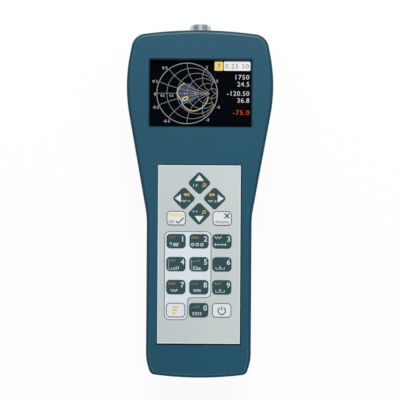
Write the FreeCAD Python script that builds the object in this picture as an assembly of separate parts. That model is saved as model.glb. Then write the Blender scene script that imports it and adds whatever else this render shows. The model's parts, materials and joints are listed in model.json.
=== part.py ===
import FreeCAD, Part
import math
import os

# Handheld antenna analyzer, in millimetres, lying on its back.
# The origin is on the flat of the back, +Y runs towards the antenna socket,
# +Z comes out of the face, and +X is the right-hand side seen from the face.

Vec = FreeCAD.Vector

# Case outline, seen from the face: a wide head, a narrow grip, a bowed crown and foot
head_width = 102.6
head_widest_at = 82.3
head_radius = 113.0
head_lean = 11.3
neck_taper = 10.2
neck_radius = 60.0
grip_width = 73.4
hip_starts_at = -104.8
hip_radius = 30.0
hip_lean = 17.0
crown_top = 121.25
crown_radius = 292.0
crown_corner = 10.6
foot_bottom = -121.8
foot_radius = 242.0
foot_corner = 4.5

# Case section, from the back at z = 0 up to the face
case_height = 50.0
parting_height = 27.0
face_side_height = 6.0
back_side_height = 12.0
parting_flare = 0.4
back_inset = 1.0
back_corner_extra = 2.5
face_fillet = 3.0
back_fillet = 4.0
wall = 2.5
face_thickness = 3.6
back_thickness = 2.8

# Tongue of the rear cover in the groove of the front cover
lip_thickness = 1.1
lip_height = 2.0
lip_side_gap = 0.15
lip_top_gap = 0.2

# Shadow groove round the front cover where the covers meet
seam_height = 0.5
seam_depth = 0.4

# Screen: an opening with a bevel, a clear window on an adhesive ring, the display behind it
screen_width = 71.0
screen_length = 46.6
screen_x = 0.35
screen_at = 76.85
screen_corner = 0.6
screen_bevel = 0.9
window_ledge = 1.8
window_lap = 2.5
window_gap = 0.3
window_thickness = 1.5
gasket_thickness = 0.3
gasket_inner_lap = 0.45
display_gap = 0.4
display_side_gap = 0.2
display_glass_lap = 1.0
display_glass_thickness = 3.4
frame_wall = 1.1
frame_floor = 1.0

# Keypad: a pocket in the face with a circuit sheet, domes, a spacer, the keys and a top film
keypad_x = 0.0
keypad_side_margin = 6.2
keypad_head_margin = 4.3
keypad_foot_margin = 18.45
keypad_left_gap = 0.3
keypad_right_gap = 0.7
keypad_head_gap = 0.5
keypad_foot_gap = 0.9
keypad_pocket_depth = 2.2
circuit_thickness = 0.4
spacer_thickness = 0.95
film_thickness = 0.3
key_pitch = 16.0
key_width = 13.15
key_length = 9.75
key_corner = 2.5
key_height = 1.25
key_edge_round = 0.3
key_gap = 0.15
spacer_gap = 0.5
key_row_1_at = -10.2
cross_above_row_1 = 13.8
cross_offset = 10.7
diamond_half_diagonal = 8.1
diamond_corner = 2.0
dome_height = 0.6
dome_base_radius = 4.0
dome_top_radius = 2.2
tail_width = 16.0
tail_thickness = 0.3
tail_from_top = 3.5
tail_slot_gap = 0.8

# The keys below the arrows, row by row from the head; none stands between ok and cancel
key_rows = (
    ("ok", None, "cancel"),
    ("1", "2", "3"),
    ("4", "5", "6"),
    ("7", "8", "9"),
    ("f", "0", "power"),
)

# Antenna socket: a coaxial jack with a 5/8 inch threaded barrel
socket_height = 27.0
socket_reach = 7.8
socket_radius = 7.85
socket_neck_radius = 7.55
socket_hole_gap = 0.2
socket_bore_radius = 4.05
socket_bore_depth = 9.2
socket_contact_radius = 1.52
socket_contact_recess = 4.7
socket_contact_hole_radius = 0.83
socket_contact_hole_depth = 4.0
socket_tail_radius = 1.25
socket_tail_length = 9.0
socket_pad_depth = 4.0
socket_pad_half = 13.0
socket_flange_width = 22.0
socket_flange_thickness = 2.4
socket_flange_corner = 2.0
socket_back_radius = 6.0
socket_back_length = 4.2
socket_insulator_gap = 0.05
socket_ring_width = 0.75
socket_ring_thickness = 1.6
socket_ring_sunk = 0.8
socket_screw_offset = 8.4
socket_screw_radius = 1.2
socket_screw_bite = 2.8
socket_screw_head_radius = 2.1
socket_screw_head_height = 1.4

# Case screws, driven from the back through posts into bosses of the front cover
case_screw_radius = 1.45
case_screw_head_radius = 2.5
case_screw_head_height = 2.4
case_screw_seat = 14.0
case_screw_length = 20.0
case_screw_cross_reach = 1.5
case_screw_cross_width = 0.75
case_screw_cross_depth = 1.45
post_radius = 3.6
post_bore_gap = 0.15
post_recess_gap = 0.2
boss_radius = 3.4
boss_root = 0.6
pilot_gap = 0.05
pilot_spare = 2.0
case_screw_places = ((38.5, 108.0), (27.4, -14.0), (28.6, -109.0))

# Main board on four stand-offs
board_height = 24.0
board_thickness = 1.6
board_inset = 6.0
board_corner_extra = 3.4
board_post_gap = 0.6
board_socket_gap = 0.5
standoff_radius = 3.0
board_screw_radius = 0.95
board_screw_length = 7.0
board_screw_head_radius = 1.9
board_screw_head_height = 1.4
board_screw_cross_reach = 1.15
board_screw_cross_width = 0.55
board_screw_cross_depth = 0.7
board_hole_gap = 0.25
board_screw_places = ((36.0, 62.0), (24.0, -36.0))

# What the board carries
shield_width = 36.0
shield_length = 26.0
shield_height = 5.0
shield_wall = 0.5
shield_from_socket = 5.5
shield_gate_gap = 1.0
connector_length = 5.0
connector_height = 2.6
connector_side = 1.5
connector_slot_gap = 0.15
connector_slot_depth = 1.4
flex_width = 20.0
flex_thickness = 0.3
flex_from_frame_edge = 5.0
buzzer_radius = 6.0
buzzer_height = 5.5
buzzer_hole_radius = 1.0
buzzer_hole_depth = 1.5
buzzer_x = -19.0
buzzer_y = 38.0

# Packages on the board: centre x and y, width, length and height of each
chip_corner = 0.3
chip_packages = (
    (4.0, 5.0, 14.0, 14.0, 1.2),
    (-14.0, 10.0, 7.0, 9.0, 1.4),
    (19.0, 42.0, 10.0, 10.0, 1.0),
    (-30.0, 90.0, 8.0, 12.0, 1.6),
    (29.0, 92.0, 7.0, 7.0, 1.0),
    (2.0, -20.0, 8.0, 5.0, 1.5),
    (-12.0, -58.0, 9.0, 12.0, 2.0),
    (12.0, -84.0, 6.0, 6.0, 1.0),
)

# Data socket at the foot, on the underside of the board
usb_width = 7.7
usb_height = 3.95
usb_length = 9.2
usb_shell = 0.35
usb_recess = 0.7
usb_hole_gap = 0.4
usb_tongue_width = 5.0
usb_tongue_height = 1.0
usb_tongue_length = 7.0
usb_back_thickness = 1.5

# Batteries: three cells side by side behind a sliding door
cell_radius = 7.25
cell_length = 50.5
cell_nub_radius = 2.75
cell_nub_height = 1.3
cell_pitch = 14.9
cell_side_gap = 0.3
cell_roof_gap = 0.5
spring_length = 5.2
spring_base_radius = 4.6
spring_tip_radius = 3.2
spring_wire = 0.8
contact_thickness = 0.4
contact_width = 11.0
contact_height = 10.0
contact_tab_width = 3.0
contact_tab_gap = 0.2
bay_upper_end = -50.5
bay_wall = 1.5
door_thickness = 1.9
door_sunk = 0.2
door_lap = 0.6
door_upper_lap = 4.0
door_side_gap = 0.3
door_tongue = 1.0
door_tongue_thickness = 0.8
door_inner_gap = 0.3
door_floor_thickness = 1.8
door_floor_margin = 2.5
grip_groove_count = 6
grip_groove_pitch = 2.2
grip_groove_width = 1.0
grip_groove_depth = 0.5
grip_groove_length = 20.0
grip_groove_from_top = 5.0

# Levels and places that follow from the sizes above
face_inside = case_height - face_thickness
window_top = case_height - window_ledge - gasket_thickness
window_bottom = window_top - window_thickness
window_width = screen_width + 2.0 * window_lap
window_length = screen_length + 2.0 * window_lap
display_top = window_bottom - display_gap
display_width = screen_width + 2.0 * display_glass_lap
display_length = screen_length + 2.0 * display_glass_lap
display_bottom = display_top - display_glass_thickness
frame_width = display_width + 2.0 * (display_side_gap + frame_wall)
frame_length = display_length + 2.0 * (display_side_gap + frame_wall)
frame_bottom = display_bottom - frame_floor
pocket_floor = case_height - keypad_pocket_depth
circuit_top = pocket_floor + circuit_thickness
spacer_top = circuit_top + spacer_thickness
film_top = spacer_top + film_thickness
key_bottom = circuit_top + dome_height
cross_at = key_row_1_at + cross_above_row_1
last_row_at = key_row_1_at - (len(key_rows) - 1) * key_pitch
keypad_right = keypad_x + key_pitch + key_width / 2.0 + keypad_side_margin
keypad_left = keypad_x - key_pitch - key_width / 2.0 - keypad_side_margin
keypad_top = cross_at + cross_offset + diamond_half_diagonal + keypad_head_margin
keypad_bottom = last_row_at - key_length / 2.0 - keypad_foot_margin
tail_at = keypad_top - tail_from_top
board_top = board_height + board_thickness
flex_at = screen_at - frame_length / 2.0 + flex_from_frame_edge
socket_mouth = crown_top + socket_reach
socket_seat = crown_top - socket_pad_depth
socket_flange_back = socket_seat - socket_flange_thickness
socket_back_end = socket_flange_back - socket_back_length
bay_half_width = cell_pitch + cell_radius + cell_side_gap
bay_lower_end = bay_upper_end - cell_length - spring_length - 2.0 * contact_thickness
door_inside = door_sunk + door_thickness
door_half_width = bay_half_width + door_lap
door_upper_end = bay_upper_end + door_upper_lap
recess_depth = door_inside + door_inner_gap
recess_half_width = door_half_width + door_side_gap
tongue_bottom = door_inside - door_tongue_thickness
door_floor_top = recess_depth + door_floor_thickness
cell_height = door_inside + door_inner_gap + cell_radius
bay_roof = cell_height + cell_radius + cell_roof_gap
both_sides = (-1.0, 1.0)

# A cut runs this far past a surface, or past the whole part; edges are picked this closely
past = 1.0
far = 300.0
pick = 0.01


def direction(angle):
    """Unit vector in the outline's plane, the angle in degrees from +X."""
    turn = math.radians(angle)
    return Vec(math.cos(turn), math.sin(turn), 0.0)


def corner_centre(big_centre, big_radius, out_angle, out_distance, radius, side):
    """Centre of an arc that rolls inside a big arc and along a straight run."""
    out = direction(out_angle)
    along = direction(out_angle + 90.0)
    depth = out_distance - radius - out.dot(big_centre)
    reach = math.sqrt((big_radius - radius) ** 2 - depth ** 2)
    return big_centre + out * depth + along * (side * reach)


def outline_arcs(grow, extra):
    """The arcs of the right-hand half from the crown down: centre, radius and two angles."""
    crown_centre = Vec(0.0, crown_top - crown_radius, 0.0)
    head_centre = Vec(head_width / 2.0 - head_radius, head_widest_at, 0.0)
    hip_centre = Vec(grip_width / 2.0 - hip_radius, hip_starts_at, 0.0)
    foot_centre = Vec(0.0, foot_bottom + foot_radius, 0.0)
    head_out = direction(head_lean).dot(head_centre) + head_radius
    neck_out = direction(-neck_taper).dot(head_centre) + head_radius
    hip_out = direction(-hip_lean).dot(hip_centre) + hip_radius
    top_radius = crown_corner + extra
    end_radius = foot_corner + extra
    top = corner_centre(crown_centre, crown_radius, head_lean, head_out, top_radius, 1.0)
    end = corner_centre(foot_centre, foot_radius, -hip_lean, hip_out, end_radius, -1.0)
    top_angle = math.degrees(math.atan2(top.y - crown_centre.y, top.x))
    end_angle = math.degrees(math.atan2(end.y - foot_centre.y, end.x))
    neck_x = grip_width / 2.0 + neck_radius
    neck_room = neck_out + neck_radius - math.cos(math.radians(neck_taper)) * neck_x
    neck_y = -neck_room / math.sin(math.radians(neck_taper))
    neck_centre = Vec(neck_x, neck_y, 0.0)
    return [
        (top, top_radius + grow, top_angle, head_lean),
        (head_centre, head_radius + grow, head_lean, -neck_taper),
        (neck_centre, neck_radius - grow, 180.0 - neck_taper, 180.0),
        (hip_centre, hip_radius + grow, 0.0, -hip_lean),
        (end, end_radius + grow, -hip_lean, end_angle),
    ], (crown_centre, crown_radius + grow, top_angle), (foot_centre, foot_radius + grow, end_angle)


def arc_edge(centre, radius, start, end):
    """Arc about a centre from one angle to another."""
    places = [centre + direction(angle) * radius for angle in (start, (start + end) / 2.0, end)]
    return Part.Arc(*places).toShape()


def outline_wire(height, grow, extra):
    """Case outline at a height, moved out by grow, its four corners rounder by extra."""
    right, crown, foot = outline_arcs(grow, extra)
    left = []
    for centre, radius, start, end in reversed(right):
        left.append((Vec(-centre.x, centre.y, 0.0), radius, 180.0 - end, 180.0 - start))
    bottom_arc = (foot[0], foot[1], foot[2], -180.0 - foot[2])
    top_arc = (crown[0], crown[1], 180.0 - crown[2], crown[2])
    arcs = [arc_edge(*arc) for arc in [top_arc] + right + [bottom_arc] + left]
    edges = []
    for index, arc in enumerate(arcs):
        edges.append(arc)
        here = arc.Vertexes[-1].Point
        there = arcs[(index + 1) % len(arcs)].Vertexes[0].Point
        if here.distanceToPoint(there) > 0.001:
            edges.append(Part.LineSegment(here, there).toShape())
    wire = Part.Wire(edges)
    wire.translate(Vec(0.0, 0.0, height))
    return wire


def outline_block(low, high, grow, extra=0.0):
    """Upright block with the case outline."""
    return Part.Face(outline_wire(low, grow, extra)).extrude(Vec(0.0, 0.0, high - low))


def drafted_block(low, high, low_grow, high_grow, low_extra=0.0, high_extra=0.0):
    """Block whose outline changes evenly from one height to another."""
    low_wire = outline_wire(low, low_grow, low_extra)
    high_wire = outline_wire(high, high_grow, high_extra)
    return Part.makeLoft([low_wire, high_wire], True, True)


def rounded_wire(corners, radius):
    """Closed wire through the corners, each rounded to the radius."""
    count = len(corners)
    rounds = []
    for index, corner in enumerate(corners):
        before = (corners[index - 1] - corner).normalize()
        after = (corners[(index + 1) % count] - corner).normalize()
        half = before.getAngle(after) / 2.0
        setback = radius / math.tan(half)
        crest = radius / math.sin(half) - radius
        middle = (before + after).normalize()
        rounds.append((corner + before * setback, corner + middle * crest, corner + after * setback))
    edges = []
    for index, (start, crest, end) in enumerate(rounds):
        edges.append(Part.Arc(start, crest, end).toShape())
        edges.append(Part.LineSegment(end, rounds[(index + 1) % count][0]).toShape())
    return Part.Wire(edges)


def rectangle_wire(width, length, radius, height, x=0.0, y=0.0):
    """Rounded rectangle at a height, centred on x and y."""
    half_width = width / 2.0
    half_length = length / 2.0
    corners = [
        Vec(x - half_width, y - half_length, height),
        Vec(x + half_width, y - half_length, height),
        Vec(x + half_width, y + half_length, height),
        Vec(x - half_width, y + half_length, height),
    ]
    return rounded_wire(corners, radius)


def rounded_plate(width, length, radius, low, high, x=0.0, y=0.0):
    """Upright plate with rounded corners, centred on x and y."""
    face = Part.Face(rectangle_wire(width, length, radius, low, x, y))
    return face.extrude(Vec(0.0, 0.0, high - low))


def box(x_low, x_high, y_low, y_high, z_low, z_high):
    """Plain box between two limits on each axis."""
    return Part.makeBox(x_high - x_low, y_high - y_low, z_high - z_low, Vec(x_low, y_low, z_low))


def post(radius, x, y, low, high):
    """Upright cylinder."""
    return Part.makeCylinder(radius, high - low, Vec(x, y, low))


def rod(radius, near, far_end, x=0.0, z=socket_height):
    """Cylinder along Y from near to far_end."""
    return Part.makeCylinder(radius, far_end - near, Vec(x, near, z), Vec(0.0, 1.0, 0.0))


def both_places(places):
    """Each place and its mirror image on the other side."""
    return [(side * x, y) for x, y in places for side in both_sides]


def socket_openings():
    """Everything that the antenna socket takes out of the two covers."""
    hole = rod(socket_radius + socket_hole_gap, socket_back_end, socket_mouth)
    ring_radius = socket_radius + socket_hole_gap + socket_ring_width + socket_hole_gap
    seat = rod(ring_radius, crown_top - socket_ring_sunk, socket_mouth)
    cutters = [hole, seat]
    for x, z in socket_screw_centres():
        depth = socket_seat + socket_screw_bite + pilot_gap
        cutters.append(rod(socket_screw_radius + pilot_gap, socket_flange_back, depth, x, z))
    return cutters


def socket_screw_centres():
    """X and Z of the four screws that hold the socket's flange."""
    places = []
    for side in both_sides:
        for lift in both_sides:
            places.append((side * socket_screw_offset, socket_height + lift * socket_screw_offset))
    return places


def front_cover():
    """Face half of the case, with its screen opening, keypad pocket and screw bosses."""
    shoulder = case_height - face_side_height
    cap = outline_block(shoulder, case_height, 0.0)
    rim = [edge for edge in cap.Edges if edge.BoundBox.ZMin > case_height - pick]
    cap = cap.makeFillet(face_fillet, rim)
    body = drafted_block(parting_height, shoulder, parting_flare, 0.0).fuse(cap)
    room = drafted_block(parting_height, shoulder, parting_flare - wall, -wall)
    room = room.fuse(outline_block(shoulder, face_inside, -wall))
    pad_top = socket_height + socket_pad_half
    room = room.cut(box(-socket_pad_half, socket_pad_half, socket_seat, far, parting_height, pad_top))
    body = body.cut(room)
    for x, y in both_places(case_screw_places):
        body = body.fuse(post(boss_radius, x, y, parting_height, face_inside + boss_root))
        pilot_end = case_screw_seat + case_screw_length + pilot_spare
        body = body.cut(post(case_screw_radius + pilot_gap, x, y, parting_height, pilot_end))
    lip_outside = parting_flare - wall + lip_thickness + lip_side_gap
    groove_top = parting_height + lip_height + lip_top_gap
    groove = outline_block(parting_height, groove_top, lip_outside)
    groove = groove.cut(outline_block(parting_height, groove_top, parting_flare - wall - lip_top_gap))
    seam_top = parting_height + seam_height
    seam = outline_block(parting_height, seam_top, parting_flare + past)
    seam = seam.cut(outline_block(parting_height, seam_top, parting_flare - seam_depth))
    body = body.cut([groove, seam] + socket_openings())
    body = body.cut(screen_opening())
    pocket = box(
        keypad_left - keypad_left_gap,
        keypad_right + keypad_right_gap,
        keypad_bottom - keypad_foot_gap,
        keypad_top + keypad_head_gap,
        pocket_floor,
        case_height,
    )
    slot_half = tail_width / 2.0 + tail_slot_gap
    slot = box(
        keypad_x - slot_half,
        keypad_x + slot_half,
        tail_at - tail_thickness / 2.0 - tail_slot_gap,
        tail_at + tail_thickness / 2.0 + tail_slot_gap,
        face_inside,
        pocket_floor,
    )
    body = body.cut([pocket, slot])
    return body.removeSplitter()


def screen_opening():
    """Bevelled hole over the screen and, from inside, the rebate that takes the window."""
    bevel_low = case_height - screen_bevel
    hole = rounded_plate(
        screen_width, screen_length, screen_corner, face_inside, bevel_low, screen_x, screen_at)
    mouth_low = rectangle_wire(screen_width, screen_length, screen_corner, bevel_low, screen_x, screen_at)
    mouth_high = rectangle_wire(
        screen_width + 2.0 * screen_bevel,
        screen_length + 2.0 * screen_bevel,
        screen_corner + screen_bevel,
        case_height,
        screen_x,
        screen_at,
    )
    mouth = Part.makeLoft([mouth_low, mouth_high], True, True)
    rebate = rounded_plate(
        window_width + 2.0 * window_gap,
        window_length + 2.0 * window_gap,
        screen_corner + window_gap,
        min(face_inside, window_bottom),
        case_height - window_ledge,
        screen_x,
        screen_at,
    )
    return [hole, mouth, rebate]


def rear_outside():
    """Outer form of the rear half, before it is hollowed."""
    base = outline_block(0.0, back_side_height, -back_inset, back_corner_extra)
    rim = [edge for edge in base.Edges if edge.BoundBox.ZMax < pick]
    base = base.makeFillet(back_fillet, rim)
    side = drafted_block(
        back_side_height, parting_height, -back_inset, parting_flare, back_corner_extra, 0.0)
    return base.fuse(side)


def door_form(gap, inner_gap, low):
    """Cross-section of the battery door along its slide, opened up by the gaps."""
    half = door_half_width + gap
    tongue_half = door_half_width + door_tongue + gap
    top = door_inside + inner_gap
    upper_end = door_upper_end + gap
    plate = box(-half, half, -far, upper_end, low, top)
    tongues = box(-tongue_half, tongue_half, -far, upper_end, tongue_bottom - gap, top)
    return plate.fuse(tongues)


def rear_cover():
    """Back half of the case, with its battery bay, door recess, posts and stand-offs."""
    outside = rear_outside()
    room = outline_block(back_thickness, back_side_height, -back_inset - wall, back_corner_extra)
    room = room.fuse(drafted_block(
        back_side_height,
        parting_height,
        -back_inset - wall,
        parting_flare - wall,
        back_corner_extra,
        0.0,
    ))
    pad_low = socket_height - socket_pad_half
    pad_top = parting_height
    room = room.cut(box(-socket_pad_half, socket_pad_half, socket_seat, far, pad_low, pad_top))
    floor_half = recess_half_width + door_tongue + door_floor_margin
    floor_end = door_upper_end + door_side_gap + door_floor_margin
    room = room.cut(box(-floor_half, floor_half, -far, floor_end, 0.0, door_floor_top))
    body = outside.cut(room)
    bay_outer = box(
        -bay_half_width - bay_wall,
        bay_half_width + bay_wall,
        bay_lower_end - bay_wall,
        bay_upper_end + bay_wall,
        recess_depth,
        bay_roof + bay_wall,
    )
    bay = box(-bay_half_width, bay_half_width, bay_lower_end, bay_upper_end, 0.0, bay_roof)
    for x, y in both_places(case_screw_places):
        body = body.fuse(post(post_radius, x, y, back_thickness / 2.0, parting_height))
    for x, y in both_places(board_screw_places):
        body = body.fuse(post(standoff_radius, x, y, back_thickness / 2.0, board_height))
    lip_inside = parting_flare - wall
    lip = outline_block(parting_height, parting_height + lip_height, lip_inside + lip_thickness)
    lip = lip.cut(outline_block(parting_height, parting_height + lip_height, lip_inside))
    body = body.fuse([bay_outer, lip])
    cutters = [bay, door_form(door_side_gap, door_inner_gap, -past)] + socket_openings()
    for x, y in both_places(case_screw_places):
        cutters.append(post(case_screw_radius + post_bore_gap, x, y, 0.0, parting_height))
        cutters.append(post(case_screw_head_radius + post_recess_gap, x, y, -past, case_screw_seat))
    for x, y in both_places(board_screw_places):
        pilot_low = board_height - board_screw_length
        cutters.append(post(board_screw_radius + pilot_gap, x, y, pilot_low, board_height))
    for x, y_low, y_high in contact_tabs():
        half = contact_tab_width / 2.0 + contact_tab_gap
        y_gap = contact_tab_gap
        cutters.append(box(x - half, x + half, y_low - y_gap, y_high + y_gap, bay_roof, board_height))
    half = usb_width / 2.0 + usb_hole_gap
    usb_low = board_height - usb_height - usb_hole_gap
    usb_top = board_height + usb_hole_gap
    cutters.append(box(-half, half, -far, foot_bottom + back_inset + 2.0 * wall, usb_low, usb_top))
    return body.cut(cutters).removeSplitter()


def battery_door():
    """Sliding door, flush with the back and the foot, with a ribbed thumb patch."""
    door = rear_outside().common(door_form(0.0, 0.0, door_sunk))
    grooves = []
    for index in range(grip_groove_count):
        y_high = door_upper_end - grip_groove_from_top - index * grip_groove_pitch
        grooves.append(box(
            -grip_groove_length / 2.0,
            grip_groove_length / 2.0,
            y_high - grip_groove_width,
            y_high,
            door_sunk,
            door_sunk + grip_groove_depth,
        ))
    return door.cut(grooves)


def display_window():
    """Clear window behind the screen opening."""
    return rounded_plate(
        window_width, window_length, screen_corner, window_bottom, window_top, screen_x, screen_at)


def window_gasket():
    """Adhesive ring between the window and the ledge round the opening."""
    top = window_top + gasket_thickness
    ring = rounded_plate(window_width, window_length, screen_corner, window_top, top, screen_x, screen_at)
    hole_width = screen_width + 2.0 * gasket_inner_lap
    hole_length = screen_length + 2.0 * gasket_inner_lap
    hole = rounded_plate(hole_width, hole_length, screen_corner, window_top, top, screen_x, screen_at)
    return ring.cut(hole)


def display_panel():
    """Glass block of the colour display."""
    return rounded_plate(
        display_width, display_length, screen_corner, display_bottom, display_top, screen_x, screen_at)


def display_frame():
    """Metal tray that holds the display glass."""
    tray = rounded_plate(
        frame_width,
        frame_length,
        screen_corner + frame_wall,
        frame_bottom,
        display_top,
        screen_x,
        screen_at,
    )
    inner = rounded_plate(
        frame_width - 2.0 * frame_wall,
        frame_length - 2.0 * frame_wall,
        screen_corner,
        display_bottom,
        display_top,
        screen_x,
        screen_at,
    )
    return tray.cut(inner)


def display_flex():
    """Flat cable from the display's frame down into its board connector."""
    low = board_top + connector_height - connector_slot_depth
    return strip(flex_width, flex_thickness, screen_x, flex_at, low, frame_bottom)


def strip(width, thickness, x, y, low, high):
    """Upright flat strip across X."""
    half = width / 2.0
    return box(x - half, x + half, y - thickness / 2.0, y + thickness / 2.0, low, high)


def board_connector(width, thickness, x, y):
    """Low connector block on the board with a slot for a flat cable."""
    top = board_top + connector_height
    outer_half = width / 2.0 + connector_side
    half_length = connector_length / 2.0
    block = box(x - outer_half, x + outer_half, y - half_length, y + half_length, board_top, top)
    slot_thickness = thickness + 2.0 * connector_slot_gap
    slot_width = width + 2.0 * connector_slot_gap
    return block.cut(strip(slot_width, slot_thickness, x, y, top - connector_slot_depth, top))


def key_places():
    """Name of each key, whether it is a diamond, and its centre."""
    places = []
    for name, x, y in (("up", 0, 1), ("down", 0, -1), ("left", -1, 0), ("right", 1, 0)):
        centre_x = keypad_x + x * cross_offset
        places.append((name, True, centre_x, cross_at + y * cross_offset))
    for row, names in enumerate(key_rows):
        for column, name in enumerate(names):
            if name:
                centre_x = keypad_x + (column - 1) * key_pitch
                places.append((name, False, centre_x, key_row_1_at - row * key_pitch))
    return places


def key_prism(is_diamond, x, y, grow, low, high):
    """Upright prism with a key's outline, moved out by grow."""
    if is_diamond:
        reach = diamond_half_diagonal + grow * math.sqrt(2.0)
        corners = []
        for x_step, y_step in ((0, -1), (1, 0), (0, 1), (-1, 0)):
            corners.append(Vec(x + x_step * reach, y + y_step * reach, low))
        face = Part.Face(rounded_wire(corners, diamond_corner + grow))
        return face.extrude(Vec(0.0, 0.0, high - low))
    width = key_width + 2.0 * grow
    length = key_length + 2.0 * grow
    return rounded_plate(width, length, key_corner + grow, low, high, x, y)


def key(is_diamond, x, y):
    """One key with a softened top edge."""
    top = key_bottom + key_height
    solid = key_prism(is_diamond, x, y, 0.0, key_bottom, top)
    rim = [edge for edge in solid.Edges if edge.BoundBox.ZMin > top - pick]
    return solid.makeFillet(key_edge_round, rim)


def keypad_sheet(low, high):
    """Full-size sheet of the keypad stack."""
    return box(keypad_left, keypad_right, keypad_bottom, keypad_top, low, high)


def keypad_overlay():
    """Top film with an opening for each key."""
    openings = []
    for name, is_diamond, x, y in key_places():
        openings.append(key_prism(is_diamond, x, y, key_gap, spacer_top, film_top))
    return keypad_sheet(spacer_top, film_top).cut(openings)


def keypad_spacer():
    """Spacer sheet that leaves each key and dome its own well."""
    wells = []
    for name, is_diamond, x, y in key_places():
        wells.append(key_prism(is_diamond, x, y, spacer_gap, circuit_top, spacer_top))
    return keypad_sheet(circuit_top, spacer_top).cut(wells)


def keypad_circuit():
    """Circuit sheet with its flat tail down to the board."""
    low = board_top + connector_height - connector_slot_depth
    tail = strip(tail_width, tail_thickness, keypad_x, tail_at, low, pocket_floor)
    return keypad_sheet(pocket_floor, circuit_top).fuse(tail)


def keypad_domes():
    """Snap dome under each key."""
    domes = []
    for name, is_diamond, x, y in key_places():
        place = Vec(x, y, circuit_top)
        domes.append(Part.makeCone(dome_base_radius, dome_top_radius, dome_height, place))
    return Part.makeCompound(domes)


def main_board():
    """Circuit board, notched round the screw posts and the antenna socket."""
    board = outline_block(board_height, board_top, -board_inset, board_corner_extra)
    cutters = []
    for x, y in both_places(case_screw_places):
        cutters.append(post(post_radius + board_post_gap, x, y, board_height, board_top))
    for x, y in both_places(board_screw_places):
        cutters.append(post(board_screw_radius + board_hole_gap, x, y, board_height, board_top))
    notch_half = socket_flange_width / 2.0 + board_socket_gap
    notch_end = socket_back_end - board_socket_gap
    cutters.append(box(-notch_half, notch_half, notch_end, far, board_height, board_top))
    return board.cut(cutters)


def rf_shield():
    """Folded metal can over the radio stage, open towards the socket's contact."""
    y_high = socket_back_end - shield_from_socket
    top = board_top + shield_height
    half = shield_width / 2.0
    can = box(-half, half, y_high - shield_length, y_high, board_top, top)
    inner = box(
        -half + shield_wall,
        half - shield_wall,
        y_high - shield_length + shield_wall,
        y_high - shield_wall,
        board_top,
        top - shield_wall,
    )
    gate_half = socket_tail_radius + shield_gate_gap
    gate_top = socket_height + gate_half
    gate = box(-gate_half, gate_half, y_high - shield_wall, y_high, board_top, gate_top)
    return can.cut([inner, gate])


def board_chips():
    """Processor, converters and other packages on the board."""
    chips = []
    for x, y, width, length, height in chip_packages:
        chips.append(rounded_plate(width, length, chip_corner, board_top, board_top + height, x, y))
    return Part.makeCompound(chips)


def buzzer():
    """Round sounder with a hole in its lid."""
    top = board_top + buzzer_height
    body = post(buzzer_radius, buzzer_x, buzzer_y, board_top, top)
    return body.cut(post(buzzer_hole_radius, buzzer_x, buzzer_y, top - buzzer_hole_depth, top))


def usb_socket():
    """Metal shell of the data socket, its back filled by the moulding."""
    y_low = foot_bottom + usb_recess
    half = usb_width / 2.0
    z_low = board_height - usb_height
    shell = box(-half, half, y_low, y_low + usb_length, z_low, board_height)
    inner = box(
        -half + usb_shell,
        half - usb_shell,
        y_low,
        y_low + usb_length - usb_back_thickness,
        z_low + usb_shell,
        board_height - usb_shell,
    )
    return shell.cut(inner)


def usb_tongue():
    """Contact tongue inside the data socket."""
    y_high = foot_bottom + usb_recess + usb_length - usb_back_thickness
    middle = board_height - usb_height / 2.0
    half = usb_tongue_width / 2.0
    half_height = usb_tongue_height / 2.0
    y_low = y_high - usb_tongue_length
    return box(-half, half, y_low, y_high, middle - half_height, middle + half_height)


def socket_body():
    """Threaded barrel, neck, flange and back of the antenna socket, bored from the mouth."""
    thread_start = crown_top - socket_ring_sunk + socket_ring_thickness
    thread = rod(socket_radius, thread_start, socket_mouth)
    neck = rod(socket_neck_radius, socket_flange_back, thread_start)
    half = socket_flange_width / 2.0
    corners = []
    for x_side, z_side in ((-1, -1), (1, -1), (1, 1), (-1, 1)):
        z = socket_height + z_side * half
        corners.append(Vec(x_side * half, socket_flange_back, z))
    flange_face = Part.Face(rounded_wire(corners, socket_flange_corner))
    flange = flange_face.extrude(Vec(0.0, socket_flange_thickness, 0.0))
    back = rod(socket_back_radius, socket_back_end, socket_flange_back)
    body = thread.fuse([neck, flange, back])
    cutters = [rod(socket_bore_radius, socket_back_end, socket_mouth)]
    for x, z in socket_screw_centres():
        hole = socket_screw_radius + board_hole_gap
        cutters.append(rod(hole, socket_flange_back, socket_seat, x, z))
    return body.cut(cutters).removeSplitter()


def socket_insulator():
    """Insulating plug that carries the centre contact."""
    front = socket_mouth - socket_bore_depth
    plug = rod(socket_bore_radius - socket_insulator_gap, socket_back_end, front)
    return plug.cut(rod(socket_contact_radius, socket_back_end, front))


def socket_contact():
    """Centre contact, bored for the plug's pin, with its tail on the board."""
    tip = socket_mouth - socket_contact_recess
    contact = rod(socket_contact_radius, socket_back_end, tip)
    tail = rod(socket_tail_radius, socket_back_end - socket_tail_length, socket_back_end)
    bore = rod(socket_contact_hole_radius, tip - socket_contact_hole_depth, tip)
    return contact.fuse(tail).cut(bore).removeSplitter()


def socket_ring():
    """Thin ring round the barrel where it leaves the case."""
    start = crown_top - socket_ring_sunk
    inner = socket_radius + socket_hole_gap
    ring = rod(inner + socket_ring_width, start, start + socket_ring_thickness)
    return ring.cut(rod(inner, start, start + socket_ring_thickness))


def socket_screws():
    """Four screws that hold the socket's flange to the case."""
    screws = []
    for x, z in socket_screw_centres():
        head_end = socket_flange_back - socket_screw_head_height
        shaft = rod(socket_screw_radius, socket_flange_back, socket_seat + socket_screw_bite, x, z)
        head = rod(socket_screw_head_radius, head_end, socket_flange_back, x, z)
        screws.append(shaft.fuse(head).removeSplitter())
    return Part.makeCompound(screws)


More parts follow.
